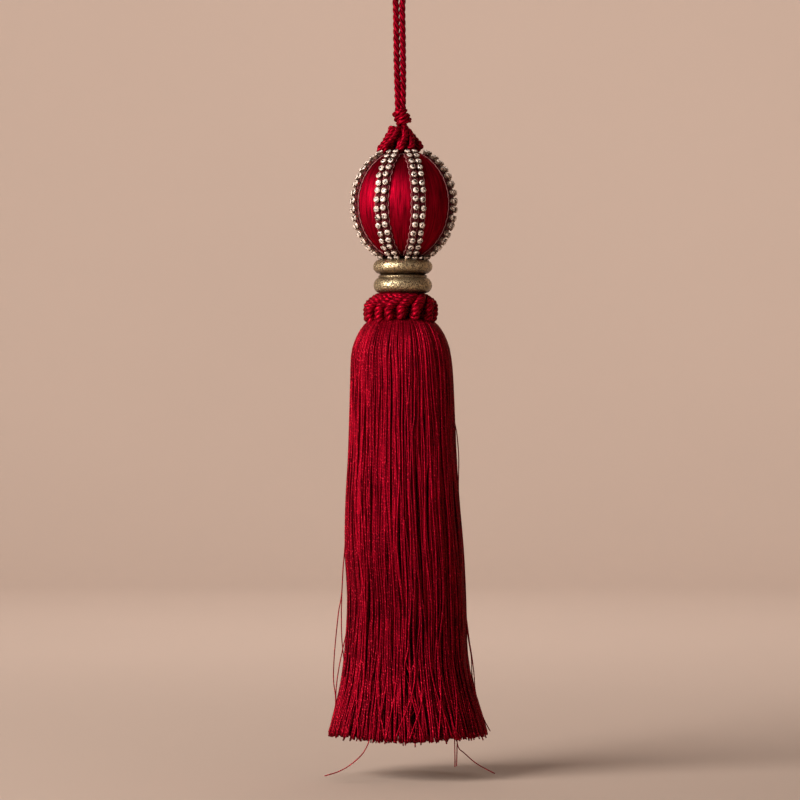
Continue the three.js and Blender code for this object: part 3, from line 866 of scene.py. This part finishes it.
def spun_mesh(name, profile, steps, centre=(0.0, 0.0, 0.0), closed=False):
    """A mesh made by spinning a profile of (radius, height) points right round an upright line."""
    made = bmesh.new()
    corners = [made.verts.new((radius + centre[0], centre[1], height)) for radius, height in profile]
    pairs = list(zip(corners, corners[1:]))
    if closed:
        pairs.append((corners[-1], corners[0]))
    edges = [made.edges.new(pair) for pair in pairs]
    bmesh.ops.spin(
        made, geom=corners + edges, cent=centre, axis=(0, 0, 1), angle=FULL_TURN, steps=steps,
        use_merge=True)
    bmesh.ops.remove_doubles(made, verts=made.verts, dist=1e-6)
    bmesh.ops.recalc_face_normals(made, faces=made.faces)
    return finished_mesh(name, made)


def area_light(name, place, aim, size, power, colour):
    """A soft round light that faces a point."""
    lamp = bpy.data.lights.new(name, "AREA")
    lamp.shape = "DISK"
    lamp.size = size
    lamp.energy = power
    lamp.color = colour
    made = bpy.data.objects.new(name, lamp)
    made.location = place
    made.rotation_euler = (Vector(aim) - Vector(place)).to_track_quat("-Z", "Y").to_euler()
    bpy.context.scene.collection.objects.link(made)


class TASSEL_OT_stage(bpy.types.Operator):
    """Adds the camera, the lights and the pale floor"""

    bl_idname = "tassel.stage"
    bl_label = "Stage"

    def execute(self, context):
        scene = context.scene
        sizes = scene.tassel_stage
        lens = bpy.data.cameras.new("camera")
        lens.sensor_width = SENSOR_WIDTH
        lens.lens = lens.sensor_width * sizes.distance / sizes.view_width
        camera = bpy.data.objects.new("camera", lens)
        camera.location = (CAMERA_ASIDE * MM, -sizes.distance, sizes.view_height)
        camera.rotation_euler = (math.radians(90), 0, 0)
        scene.collection.objects.link(camera)
        scene.camera = camera
        self.floor(context, sizes.floor)
        for name, (place, aim, size, colour) in LAMPS.items():
            area_light(name, place, aim, size, getattr(sizes, name), colour)
        world = bpy.data.worlds.new("studio")
        world.use_nodes = True
        feed(world.node_tree.nodes["Background"], {"Color": ROOM_LIGHT, "Strength": ROOM_STRENGTH})
        scene.world = world
        scene.view_settings.view_transform = "Standard"
        return {"FINISHED"}

    def floor(self, context, height):
        """A round floor whose edge sweeps up into a wall on every side."""
        profile = [(0.0, height)]
        for turn in np.linspace(0, math.pi / 2, num=12):
            rise = FLOOR_SWEEP * (1 - math.cos(turn))
            profile.append((FLOOR_FLAT + FLOOR_SWEEP * math.sin(turn), height + rise))
        profile.append((FLOOR_FLAT + FLOOR_SWEEP, height + FLOOR_SWEEP + WALL_HEIGHT))
        mesh = spun_mesh("floor", profile, steps=64)
        mesh.flip_normals()
        to_object("floor", mesh, floor_material(context.scene.tassel_colours))


class TASSEL_OT_hanging_cord(bpy.types.Operator):
    """Twists the doubled cord that the tassel hangs by"""

    bl_idname = "tassel.hanging_cord"
    bl_label = "Hanging cord"

    def execute(self, context):
        sizes = context.scene.tassel_cords
        route = np.array([(x, 0.0, z) for x, z in CORD_ROUTE])
        tuck = (0, 0, CORD_TUCK)
        line = smooth_line(
            np.vstack([route[0] - tuck, route, route[-1] - tuck]) * MM, sizes.hanging_pitch / HANGING_STEPS)
        shape = Shape()
        width = sizes.hanging * sizes.hanging_swell
        add_cord(shape, line, width, sizes.hanging_pitch, hand=-1, sides=10, tones=HANGING_TONE)
        cord = shape.build("hanging_cord_plies", cord_silk(context.scene.tassel_colours))
        piece(cord, "silk_cord", "hanging_cord")
        return {"FINISHED"}


class TASSEL_OT_knot(bpy.types.Operator):
    """Winds the knot and the short neck of twisted cord below it"""

    bl_idname = "tassel.knot"
    bl_label = "Knot"

    def execute(self, context):
        sizes = context.scene.tassel_cords
        low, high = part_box("knot")
        shape = Shape()
        share = np.linspace(0, 1, num=120)
        angle = KNOT_START - FULL_TURN * KNOT_TURNS * share
        radius = (KNOT_RADIUS + KNOT_GROWTH * share + KNOT_WOBBLE * np.sin(KNOT_WOBBLES * angle)) * MM
        line = radius[:, None] * around(angle)
        line[:, 0] += KNOT_MIDDLE * MM + share * KNOT_DRIFT * MM
        top = high.z - sizes.knot / 2 + KNOT_LIFT * MM
        fall = share * (low.z - high.z + KNOT_OVERLAP * sizes.knot)
        line[:, 2] = top + fall + KNOT_TILT * MM * np.sin(angle)
        add_cord(shape, even_line(line, KNOT_SPACING * MM), sizes.knot, KNOT_PITCH * MM, hand=-1)
        neck = smooth_line(np.array(NECK_LINE) * MM, NECK_SPACING * MM)
        add_cord(shape, neck, NECK_CORD * MM, KNOT_PITCH * MM, plies=2, hand=-1)
        piece(shape.build("knot_wraps", cord_silk(context.scene.tassel_colours)), "silk_cord", "knot")
        return {"FINISHED"}


class TASSEL_OT_crown(bpy.types.Operator):
    """Fans the crown's loops of twisted cord over the top of the ball"""

    bl_idname = "tassel.crown"
    bl_label = "Crown"

    def execute(self, context):
        sizes = context.scene.tassel_cords
        draw = np.random.default_rng(CROWN_SEED)
        shape = Shape()
        middle = np.array([CROWN_MIDDLE, 0, 0]) * MM
        radius, height, share = np.array(CROWN_LOOP).T
        for number in range(sizes.crown_loops):
            place = FULL_TURN * number / sizes.crown_loops + draw.uniform(-CROWN_JITTER, CROWN_JITTER)
            angle = place - sizes.crown_lean * share
            points = middle + (radius * MM * draw.uniform(*CROWN_REACH))[:, None] * around(angle)
            points[:, 2] = height * MM + draw.uniform(*CROWN_RISE) * MM + CROWN_SLOPE * points[:, 0]
            line = smooth_line(points, CROWN_SPACING * MM)
            width = sizes.crown * draw.uniform(*CROWN_WIDTH)
            add_cord(shape, line, width, CROWN_PITCH * MM, tones=draw.uniform(*CROWN_TONE))
        stub = smooth_line(np.array(CROWN_STUB) * MM, CROWN_SPACING * MM)
        add_cord(shape, stub, STUB_CORD * sizes.crown, STUB_PITCH * MM)
        piece(shape.build("crown_loops", cord_silk(context.scene.tassel_colours)), "silk_cord", "crown")
        return {"FINISHED"}


class TASSEL_OT_ball(bpy.types.Operator):
    """Covers the ball with satin floss"""

    bl_idname = "tassel.ball"
    bl_label = "Ball"

    def execute(self, context):
        low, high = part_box("ball")
        centre = (low + high) / 2
        half = (high - low) / 2
        made = bmesh.new()
        bmesh.ops.create_uvsphere(made, u_segments=240, v_segments=72, radius=1.0)
        ridge = context.scene.tassel_ball.ridge
        for corner in made.verts:
            level = Vector((corner.co.x, corner.co.y, 0.0))
            steep = min(1.0, level.length * FLOSS_RISE)
            spot = level.normalized() * FLOSS_ROUND if level.length > 1e-6 else Vector()
            spot += Vector((0, 0, FLOSS_ALONG * corner.co.z))
            swell = 1 + steep * ridge / half.x * noise.noise(spot)
            corner.co = centre + Vector(a * b * swell for a, b in zip(corner.co, half))
        mesh = finished_mesh("ball_floss", made)
        ball = to_object("ball_floss", mesh, floss_material(context.scene.tassel_colours, centre))
        piece(ball, "satin_floss", "ball")
        return {"FINISHED"}


def stone_corners(diameter):
    """Corners of one stone in its cup, about its seat: rings from foot to table, table middle, prongs."""
    half = diameter / 2
    rings = []
    for radius, height, turn in STONE_RINGS:
        angle = FULL_TURN * np.arange(STONE_SIDES) / STONE_SIDES + turn * FULL_TURN / STONE_SIDES
        lift = np.full(STONE_SIDES, height * MM)
        rings.append(np.stack([radius * half * np.cos(angle), radius * half * np.sin(angle), lift], axis=1))
    rings.append(np.array([[0.0, 0.0, TABLE_MIDDLE * MM]]))
    for corner in FULL_TURN * (np.arange(PRONGS) + 0.5) / PRONGS:
        out = np.array([math.cos(corner), math.sin(corner), 0.0])
        side = np.array([-out[1], out[0], 0.0]) * PRONG_HALF * half
        up = np.array([0, 0, MM])
        foot, shoulder, tip = (
            reach * half * out + height * up for reach, height in (PRONG_FOOT, PRONG_SHOULDER, PRONG_TIP))
        rings.append(np.array([foot + side, foot - side, shoulder - side, shoulder + side, tip]))
    return np.vstack(rings)


def stone_faces():
    """Faces of one stone in its cup: the cup's wall and lip, the cut crown, the table and the prongs."""
    foot = np.arange(STONE_SIDES)
    lip, girdle, table = (foot + ring * STONE_SIDES for ring in (1, 2, 3))
    rings = (foot, lip, girdle, table)
    next_foot, next_lip, next_girdle, next_table = (np.roll(ring, -1) for ring in rings)
    middle = len(STONE_RINGS) * STONE_SIDES
    wall = np.stack([foot, next_foot, next_lip, lip], axis=1)
    rim = np.stack([lip, next_lip, next_girdle, girdle], axis=1)
    mains = np.stack([girdle, next_girdle, table], axis=1)
    stars = np.stack([table, next_girdle, next_table], axis=1)
    top = np.stack([table, next_table, np.full(STONE_SIDES, middle)], axis=1)
    prongs = []
    for first in middle + 1 + PRONG_CORNERS * np.arange(PRONGS):
        base = first + np.arange(PRONG_CORNERS - 1)
        tip = np.full(len(base), first + len(base))
        prongs.append(np.stack([np.roll(base, -1), base, tip], axis=1))
    return np.vstack([wall, rim]), np.vstack([mains, stars]), top, np.vstack(prongs)


class TASSEL_OT_crystal_chains(bpy.types.Operator):
    """Sets the crystal chains on their net, down the ball"""

    bl_idname = "tassel.crystal_chains"
    bl_label = "Crystal chains"

    def execute(self, context):
        colours = context.scene.tassel_colours
        sizes = context.scene.tassel_ball
        finishes = (
            crystal_material(colours),
            gilt_material("cup_gilt", colours.cup, colours.bole_and_shade, scale=900.0, wear=0.3, depth=0.02 * MM),
            net_material("net_thread", colours.net),
            net_material("net_ground", colours.ground),
        )
        low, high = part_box("ball")
        self.centre = np.array((low + high) / 2)
        self.half = np.array((high - low) / 2)
        draw = np.random.default_rng(CHAIN_SEED)
        for number, (degrees, slant) in enumerate(zip(CHAIN_ANGLES, CHAIN_SLANTS), 1):
            shape = Shape()
            angle = math.radians(degrees)
            self.stones(shape, sizes, angle, slant, draw)
            self.net(shape, sizes, angle, draw)
            self.shade_backing(shape, sizes, angle)
            piece(shape.build(f"crystals_{number}", *finishes), "crystal_chain", f"chain_{number}")
        return {"FINISHED"}

    def seat(self, angle, tilt, across, lift):
        """Points beside a chain's middle line, their directions off the ball and the direction across."""
        out = around(angle)
        side = np.array([math.cos(angle), math.sin(angle), 0.0])
        up = np.array([0, 0, 1.0])
        sin, cos = np.sin(tilt)[..., None], np.cos(tilt)[..., None]
        across = np.broadcast_to(across, tilt.shape)[..., None]
        point = self.centre + self.half[0] * sin * out + self.half[2] * cos * up
        bulge = across / self.half[0]
        normal = unit(sin / self.half[0] * out + cos / self.half[2] * up)
        normal = unit(normal + bulge * side)
        point = point + across * side - across * bulge / 2 * normal
        return point + lift * MM * normal, normal, side

    def stones(self, shape, sizes, angle, slant, draw):
        """Two columns of stones."""
        tilt = np.repeat(np.linspace(sizes.first_row, sizes.last_row, sizes.rows), 2)
        column = np.tile([-0.5, 0.5], sizes.rows)
        across = column * sizes.columns
        across += np.repeat(draw.normal(0, STRAY_ACROSS * MM, sizes.rows), 2)
        tilt = tilt + draw.normal(0, STRAY_ALONG, len(tilt)) - column * slant
        point, normal, side = self.seat(angle, tilt, across, STONE_LIFT)
        normal = unit(normal + draw.normal(0, STONE_TILT, normal.shape))
        side = unit(side - (side * normal).sum(axis=1, keepdims=True) * normal)
        spin = draw.uniform(0, FULL_TURN, len(tilt))[:, None]
        first = np.cos(spin) * side + np.sin(spin) * np.cross(normal, side)
        axes = np.stack([first, np.cross(normal, first), normal], axis=1)
        template = stone_corners(sizes.stone)
        corners = point[:, None] + template @ axes
        start = shape.place(corners) + len(template) * np.arange(len(tilt))[:, None, None]
        cup, crown, table, prongs = stone_faces()
        # Painted reflections: a tone for each cut facet and each face of the table, dark along a run of the
        # table
        lit = draw.uniform(*FACET_REFLECTION_TONES, (len(tilt), len(crown)))
        lit = np.where(draw.random(lit.shape) < UNLIT_FACET_SHARE, UNLIT_FACET_TONE, lit)
        dark = draw.uniform(*TABLE_REFLECTION_TONES, (len(tilt), len(table)))
        run = (np.arange(len(table)) - draw.integers(0, len(table), (len(tilt), 1))) % len(table)
        dark = np.where(run < draw.integers(*DARK_REFLECTION_RUN, (len(tilt), 1)), 0.0, dark)
        shape.cover((start + cup).reshape(-1, 4), finish=CUP, smooth=False)
        shape.cover((start + prongs).reshape(-1, 3), finish=CUP, smooth=False)
        shape.cover((start + crown).reshape(-1, 3), tones=lit.ravel(), finish=CRYSTAL, smooth=False)
        shape.cover((start + table).reshape(-1, 3), tones=dark.ravel(), finish=CRYSTAL, smooth=False)

    def shade_backing(self, shape, sizes, angle):
        """Dark thread laid side by side under the stones, which also paints the shade between and beside
        them.
        """
        tilt = np.linspace(sizes.first_row - BACKING_OVERHANG, sizes.last_row + BACKING_OVERHANG, num=48)
        lines = [self.seat(angle, tilt, strip, BACKING_LIFT)[0] for strip in BACKING_STRIPS * sizes.net]
        add_tubes(shape, np.array(lines), BACKING_THREAD * MM, sides=5, tones=BACKING_TONE, finish=GROUND_AND_SHADE)

    def net(self, shape, sizes, angle, draw):
        """Pale threads along both edges and the middle, and dark ones that cross between the rows as painted
        shade.
        """
        rows, step = np.linspace(sizes.first_row, sizes.last_row, sizes.rows, retstep=True)
        tilt = np.linspace(sizes.first_row - NET_OVERHANG, sizes.last_row + NET_OVERHANG, num=160)
        edges = []
        for edge in (-0.5, 0.0, 0.5):
            phase = FULL_TURN * (tilt - rows[0]) / step + draw.uniform(-0.5, 0.5)
            across = edge * sizes.net - EDGE_SWING * MM * edge * np.cos(phase)
            edges.append(self.seat(angle, tilt, across, EDGE_LIFT)[0])
        add_tubes(shape, np.array(edges), EDGE_THREAD * MM, sides=4, finish=NET)
        across = np.linspace(-0.5, 0.5, RUNG_POINTS) * sizes.net
        rungs = []
        for slant in (-RUNG_CROSSING, RUNG_CROSSING):
            for row in (rows[1:] + rows[:-1]) / 2:
                tilt = row + step * slant * np.linspace(-1, 1, RUNG_POINTS)
                rungs.append(self.seat(angle, tilt, across, RUNG_LIFT)[0])
        add_tubes(shape, np.array(rungs), RUNG_THREAD * MM, sides=4, finish=GROUND_AND_SHADE)


class TASSEL_OT_gilt_rings(bpy.types.Operator):
    """Turns the two gilded rings under the ball"""

    bl_idname = "tassel.gilt_rings"
    bl_label = "Gilt rings"

    def execute(self, context):
        colours = context.scene.tassel_colours
        leaf = gilt_material(
            "gilt_leaf", colours.gilt, colours.bole_and_shade, scale=620.0, wear=0.9, depth=0.05 * MM)
        for number, (name, profile) in enumerate(RING_PROFILES.items()):
            low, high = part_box(name)
            middle = (low + high) / 2
            middle.z = 0.0
            outline = smooth_line([(radius, 0.0, height) for radius, height in profile], spacing=0.3)
            points = [(radius * MM, height * MM) for radius, _, height in outline]
            points += [(RING_BORE * MM, height * MM) for height in (profile[-1][1], profile[0][1])]
            mesh = spun_mesh(name, points, steps=112, centre=middle, closed=True)
            for corner in mesh.vertices:
                out = Vector((*(corner.co - middle).xy, 0.0)).normalized()
                dent = noise.noise(corner.co * DENT_FINENESS + Vector((0, 0, DENT_STEP * number)))
                corner.co = corner.co + out * dent * RING_DENT * MM
            self.patina_and_shade(mesh, middle, max(radius for radius, _ in profile) * MM)
            piece(to_object(f"{name}_leaf", mesh, leaf), "gilt", name)
        return {"FINISHED"}

    def patina_and_shade(self, mesh, middle, widest):
        """Gives the faces a tone: patina in the hollows and painted shade on the undersides."""
        tones = mesh.attributes.new("tone", "FLOAT", "FACE")
        for face, tone in zip(mesh.polygons, tones.data):
            hollow = (widest - (face.center - middle).xy.length) / (PATINA_DEPTH * MM)
            # Painted shade on faces that look down
            under = max(0.0, -face.normal.z - UNDERSIDE_SHADE_OFFSET)
            tone.value = min(1.0, PATINA_AND_SHADE_WEIGHT * hollow + PATINA_AND_SHADE_WEIGHT * under)


class TASSEL_OT_ruff(bpy.types.Operator):
    """Coils a tight twisted cord into the ruff round the skirt's neck"""

    bl_idname = "tassel.ruff"
    bl_label = "Ruff"

    def execute(self, context):
        sizes = context.scene.tassel_cords
        shape = Shape()
        add_cord(shape, self.coil(sizes), sizes.ruff, sizes.ruff_pitch, plies=2, tones=RUFF_TONE)
        piece(shape.build("ruff_coil", cord_silk(context.scene.tassel_colours)), "silk_cord", "ruff")
        return {"FINISHED"}

    def coil(self, sizes):
        """The cord's line: up the outside of each turn, leaning over at its top, and down inside."""
        low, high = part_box("ruff")
        draw = np.random.default_rng(RUFF_SEED)
        front = np.array(list(RUFF_FRONT), float)
        back = np.linspace(front[-1], front[0] + 360, RUFF_BACK_TURNS + 2)[1:-1]
        back += draw.uniform(-RUFF_JITTER, RUFF_JITTER, len(back))
        places = np.concatenate([back, front + 360])
        droop = [RUFF_FRONT.get(int(place - 360), draw.uniform(*RUFF_BACK_DROOP)) for place in places]
        droop = np.array([*droop, droop[0]]) * MM
        bulge = draw.uniform(*RUFF_BULGE, len(places))
        angles = np.radians(np.append(places, places[0] + 360))
        count = len(places)
        turn = np.linspace(0, count - 1e-6, count * TURN_POINTS)
        number = turn.astype(int)
        share = turn - number
        outside = share < 0.5
        lean = sizes.ruff_lean * np.clip((share - 0.25) / 0.25, 0, 1) ** LEAN_POWER
        back_down = ease(share, 0.5, 0.5)
        leaving = angles[number] + sizes.ruff_lean
        returning = leaving + back_down * (angles[number + 1] - leaving)
        angle = np.where(outside, angles[number] + lean, returning)
        wave = FULL_TURN * (share - 0.25)
        rise = np.sin(wave)
        drawn_in = np.where(rise > 0, RUFF_TOP_IN, RUFF_FOOT_IN) * rise**2
        radius = RUFF_RADIUS + RUFF_SWING * np.cos(wave) - drawn_in
        radius = radius + bulge[number] * np.maximum(0, np.cos(wave))
        line = np.array([(low.x + high.x) / 2, 0, 0]) + MM * radius[:, None] * around(angle)
        tall = (high.z - low.z) / 2 - sizes.ruff / 2
        change = back_down * (droop[number + 1] - droop[number])
        sink = np.where(outside, droop[number], droop[number] + change)
        line[:, 2] = (low.z + high.z) / 2 + tall * rise
        line[:, 2] -= sink * np.maximum(0, -rise)
        return even_line(line, sizes.ruff_pitch / RUFF_STEPS)


class Locks:
    """The threads of one layer in their locks, with random values for each lock or for each thread."""

    def __init__(self, layer, draw):
        self.layer = layer
        self.draw = draw
        self.each = layer["threads"]
        self.count = layer["locks"]
        self.gap = FULL_TURN / self.count
        self.lock = np.repeat(np.arange(self.count), self.each)
        self.places = self.lock[:, None] * self.gap

    def by_lock(self, low, high):
        """A value for each lock, which all its threads share."""
        return self.draw.uniform(low, high, (self.count, 1))[self.lock]

    def by_thread(self, low, high):
        """A value for each thread."""
        return self.draw.uniform(low, high, self.places.shape)

    def scatter(self, size):
        """A value for each thread, mostly about this far from nothing."""
        return self.draw.normal(0, size, self.places.shape)

    def lock_scatter(self, size):
        """A value for each lock, mostly about this far from nothing."""
        return self.draw.normal(0, size, (self.count, 1))[self.lock]

    def some(self, share):
        """Whether each thread is one of a share of them."""
        return self.draw.random(self.places.shape) < share

    def evenly(self):
        """Even places across each lock for its threads, in any order."""
        even = np.tile((np.arange(self.each) + 0.5) / self.each - 0.5, (self.count, 1))
        return self.draw.permuted(even, axis=1).ravel()[:, None]


class TASSEL_OT_skirt(bpy.types.Operator):
    """Hangs the skirt's threads, layer by layer, from its bound neck"""

    bl_idname = "tassel.skirt"
    bl_label = "Skirt"

    def execute(self, context):
        self.sizes = context.scene.tassel_skirt
        self.measure()
        finish = thread_silk(context.scene.tassel_colours)
        for number, layer in enumerate(SKIRT_LAYERS):
            shape = Shape()
            draw = np.random.default_rng(SKIRT_SEED + number)
            lines, tones = self.hang(layer, draw)
            slip = draw.uniform(0, 1, (len(lines), 1))
            radius = self.sizes.thread / 2 * layer["swell"]
            add_tubes(shape, lines, radius, layer["sides"], tones, slip=slip)
            if number == 0:
                lines = self.cross(layer["rows"], draw)
                slip = draw.uniform(0, 1, (len(lines), 1))
                radius = CROSSING_RADIUS * self.sizes.thread
                add_tubes(shape, lines, radius, layer["sides"], CROSSING_TONE, slip=slip)
            piece(shape.build(layer["name"], finish), "silk_thread", "skirt")
        heart = [(radius * MM, height * MM) for radius, height in BUNDLE_PROFILE]
        mesh = spun_mesh("skirt_heart", heart, steps=48, centre=(self.middle, 0.0, 0.0))
        piece(to_object("skirt_heart", mesh, finish), "silk_thread", "skirt")
        return {"FINISHED"}

    def measure(self):
        """Works out the outside of the skirt, its slope and where its hem is."""
        low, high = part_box("ruff")
        self.middle = (low.x + high.x) / 2
        self.outline = smooth_line(np.array(SKIRT_SECTIONS) * MM, spacing=0.5 * MM)
        fall = np.gradient(self.outline, axis=0)
        self.normal = unit(np.stack([-fall[:, 2], fall[:, 0]], axis=1))
        self.along = lengths(self.outline)
        self.hem = self.reach(HEM_HEIGHT)

    def reach(self, height):
        """Distance along the outside down to a height."""
        return np.interp(-height * MM, -self.outline[:, 2], self.along)

    def read(self, along, columns):
        """Columns of the outline or of its normal at distances along the outside."""
        return [np.interp(along, self.along, column) for column in columns.T]

    def place(self, along, angle, depth):
        """Points at distances along the outside, at angles from the front, below the surface by a depth."""
        radius, swing, height = self.read(along, self.outline)
        out, up = self.read(along, self.normal)
        points = (radius - depth * out)[..., None] * around(angle)
        points[..., 0] += swing + self.middle
        points[..., 2] = height - depth * up
        return points

    def rows(self, count):
        """Shares along a thread, closer together at both of its ends."""
        share = np.linspace(0, 1, count)
        return share - END_CROWDING * np.sin(FULL_TURN * share) / FULL_TURN

    def hang(self, layer, draw):
        """Lines and tones of one layer's threads, which hang straight at the top and gather into locks."""
        locks = Locks(layer, draw)
        share = self.rows(layer["rows"])[None]
        depth = self.depths(locks, share)
        jitter = locks.by_lock(-LOCK_JITTER, LOCK_JITTER) * locks.gap
        along = share * self.ends(locks, locks.places + jitter, depth[:, -1:])
        angle = self.angles(locks, share, jitter)
        radius = self.read(along, self.outline)[0]
        least = np.maximum(radius, LEAST_RADIUS * MM)
        splay = ease(share, *SPLAY_ONSET) * locks.scatter(1.0)
        angle = angle + splay * SPLAY * MM / least
        if layer == SKIRT_LAYERS[0]:
            angle = angle + self.partings(along, angle, radius)
            proud = locks.some(PROUD_SHARE)
            drift = locks.scatter(PROUD_DRIFT * MM) * np.sin(share * locks.by_thread(*PROUD_WAVE))
            angle = angle + np.where(proud, drift / least, 0)
            lifted = locks.by_thread(-PROUD_DEPTH, PROUD_DEPTH) * MM * ease(share, *PROUD_ONSET)
            depth = np.where(proud, lifted, depth)
        tones = self.tones(locks, share)
        return self.place(along, angle, np.maximum(depth, -MOST_PROUD * MM)), tones

    def depths(self, locks, share):
        """How far each thread lies below the outside of the skirt."""
        shallow, deep = (depth * MM for depth in locks.layer["depth"])
        depth = locks.by_thread(shallow, deep) * (TOP_DEPTH + (1 - TOP_DEPTH) * ease(share, *DEPTH_ONSET))
        depth = depth + locks.by_lock(0, LOCK_DEPTH * MM) * ease(share, *LOCK_DEPTH_ONSET)
        return depth + HEM_SCATTER * MM * ease(share, *SCATTER_ONSET) * locks.scatter(1.0)

    def ends(self, locks, angle, depth):
        """Length of each thread, cut unevenly at the hem, with a few that are longer."""
        out, up = self.read(self.hem, self.normal)
        end = self.hem - depth * up / out + np.minimum(locks.scatter(self.sizes.hem), self.sizes.hem)
        end += HEM_DROP * MM * ease(np.cos(angle + HEM_TURN), *HEM_FRONT)
        return end + np.where(locks.some(LONG_SHARE), locks.by_thread(*LONG_ENDS) * MM, 0)

    def angles(self, locks, share, jitter):
        """Where each thread is round the skirt: even at the top, then drawn into its lock and swaying."""
        even = locks.evenly()
        drawn = locks.scatter(LOCK_SPREAD)
        clump = locks.by_lock(LEAST_CLUMP, 1.0) * self.sizes.clump * locks.layer["gather"]
        clump = clump * ease(share, *CLUMP_ONSET) * (1 - RELEASE * ease(share, *RELEASE_ONSET))
        angle = locks.places + jitter * ease(share, *JITTER_ONSET)
        angle = angle + locks.gap * ((1 - clump) * even + clump * drawn)
        for waves, reach in LOCK_SWAYS:
            sway = FULL_TURN * waves * share
            lock_sway = np.sin(sway + locks.by_lock(0, FULL_TURN))
            angle = angle + locks.gap * reach * ease(share, *LOCK_SWAY_ONSET) * lock_sway
            thread_sway = np.sin(sway + locks.by_thread(0, FULL_TURN))
            angle = angle + locks.gap * THREAD_SWAY * ease(share, *THREAD_SWAY_ONSET) * thread_sway
        return angle

    def tones(self, locks, share):
        """Tones along each thread, with painted shade that darkens it towards the hem."""
        # The layer's tone is painted shade, darker for the deeper layers
        tones = locks.layer["tone"] + locks.scatter(TONE_SCATTER) + locks.lock_scatter(LOCK_TONE_SCATTER)
        middles = (share[:, 1:] + share[:, :-1]) / 2
        for waves in TONE_WAVES:
            tones = tones + TONE_REACH * np.sin(FULL_TURN * (waves * middles + locks.by_thread(0, 1)))
        return np.clip(tones - PAINTED_HEM_SHADE * ease(middles, *HEM_SHADE_ONSET), -0.5, 0.5)

    def partings(self, along, angle, radius):
        """Turns the threads away from the dark partings."""
        height = self.read(along, self.outline)[2]
        turn = np.zeros_like(angle)
        for degrees, middle, length, width, push in SKIRT_PARTINGS:
            aside = np.remainder(angle - math.radians(degrees) + math.pi, FULL_TURN) - math.pi
            near = np.exp(-((aside * radius / (width * MM)) ** 2) - ((height / MM - middle) / length) ** 2)
            turn += np.sign(aside) * near * push * MM / radius
        return turn

    def cross(self, rows, draw):
        """Lines of the threads that lie across the others near the hem."""
        rise = CROSSING_RISE * MM
        lines = []
        for top, hem, height in CROSSING_THREADS:
            along = self.rows(rows) * (self.hem - abs(draw.normal(0, self.sizes.hem)))
            leave = self.reach(height)
            share = (along - leave) / (self.hem - leave)
            turn = (hem - top) * ease(share, 0, CROSSING_SPAN) * CROSSING_SIZE
            angle = np.radians(top + turn)
            depth = CROSSING_DEPTH * MM - CROSSING_OUT * MM * ease(along - leave + rise, 0, rise)
            lines.append(self.place(along, angle, depth))
        return np.array(lines)


class TASSEL_OT_loose_threads(bpy.types.Operator):
    """Adds the threads that have slipped below the hem or bow out at the side"""

    bl_idname = "tassel.loose_threads"
    bl_label = "Loose threads"

    def execute(self, context):
        shape = Shape()
        radius = context.scene.tassel_skirt.thread / 2 * LOOSE_RADIUS
        for points in LOOSE_TAILS + STRAY_THREADS:
            line = smooth_line(np.array(points) * MM, spacing=1.0 * MM)
            add_tubes(shape, line[None], radius, sides=5, tones=LOOSE_TONE)
        loose = shape.build("loose_threads", thread_silk(context.scene.tassel_colours))
        piece(loose, "silk_thread", "skirt")
        return {"FINISHED"}


OPERATORS = (
    TASSEL_OT_stage,
    TASSEL_OT_hanging_cord,
    TASSEL_OT_knot,
    TASSEL_OT_crown,
    TASSEL_OT_ball,
    TASSEL_OT_crystal_chains,
    TASSEL_OT_gilt_rings,
    TASSEL_OT_ruff,
    TASSEL_OT_skirt,
    TASSEL_OT_loose_threads,
)
SETTINGS = {
    "tassel_cords": TasselCords,
    "tassel_ball": TasselBall,
    "tassel_skirt": TasselSkirt,
    "tassel_colours": TasselColours,
    "tassel_stage": TasselStage,
}


class TASSEL_PT_sidebar(bpy.types.Panel):
    """Lists the tassel's sizes, colours and pieces"""

    bl_idname = "TASSEL_PT_sidebar"
    bl_label = "Silk Tassel"
    bl_space_type = "VIEW_3D"
    bl_region_type = "UI"
    bl_category = "Tassel"

    def draw(self, context):
        for settings, group in SETTINGS.items():
            box = self.layout.box()
            for label in group.__annotations__:
                box.prop(getattr(context.scene, settings), label)
        for operator in OPERATORS:
            self.layout.operator(operator.bl_idname)


def register():
    for kind in (*SETTINGS.values(), *OPERATORS, TASSEL_PT_sidebar):
        bpy.utils.register_class(kind)
    for label, group in SETTINGS.items():
        setattr(bpy.types.Scene, label, PointerProperty(type=group))


def unregister():
    for label in SETTINGS:
        delattr(bpy.types.Scene, label)
    for kind in reversed((*SETTINGS.values(), *OPERATORS, TASSEL_PT_sidebar)):
        bpy.utils.unregister_class(kind)


def main():
    register()
    bpy.ops.tassel.stage()
    bpy.ops.tassel.hanging_cord()
    bpy.ops.tassel.knot()
    bpy.ops.tassel.crown()
    bpy.ops.tassel.ball()
    bpy.ops.tassel.crystal_chains()
    bpy.ops.tassel.gilt_rings()
    bpy.ops.tassel.ruff()
    bpy.ops.tassel.skirt()
    bpy.ops.tassel.loose_threads()


if __name__ == "__main__":
    main()
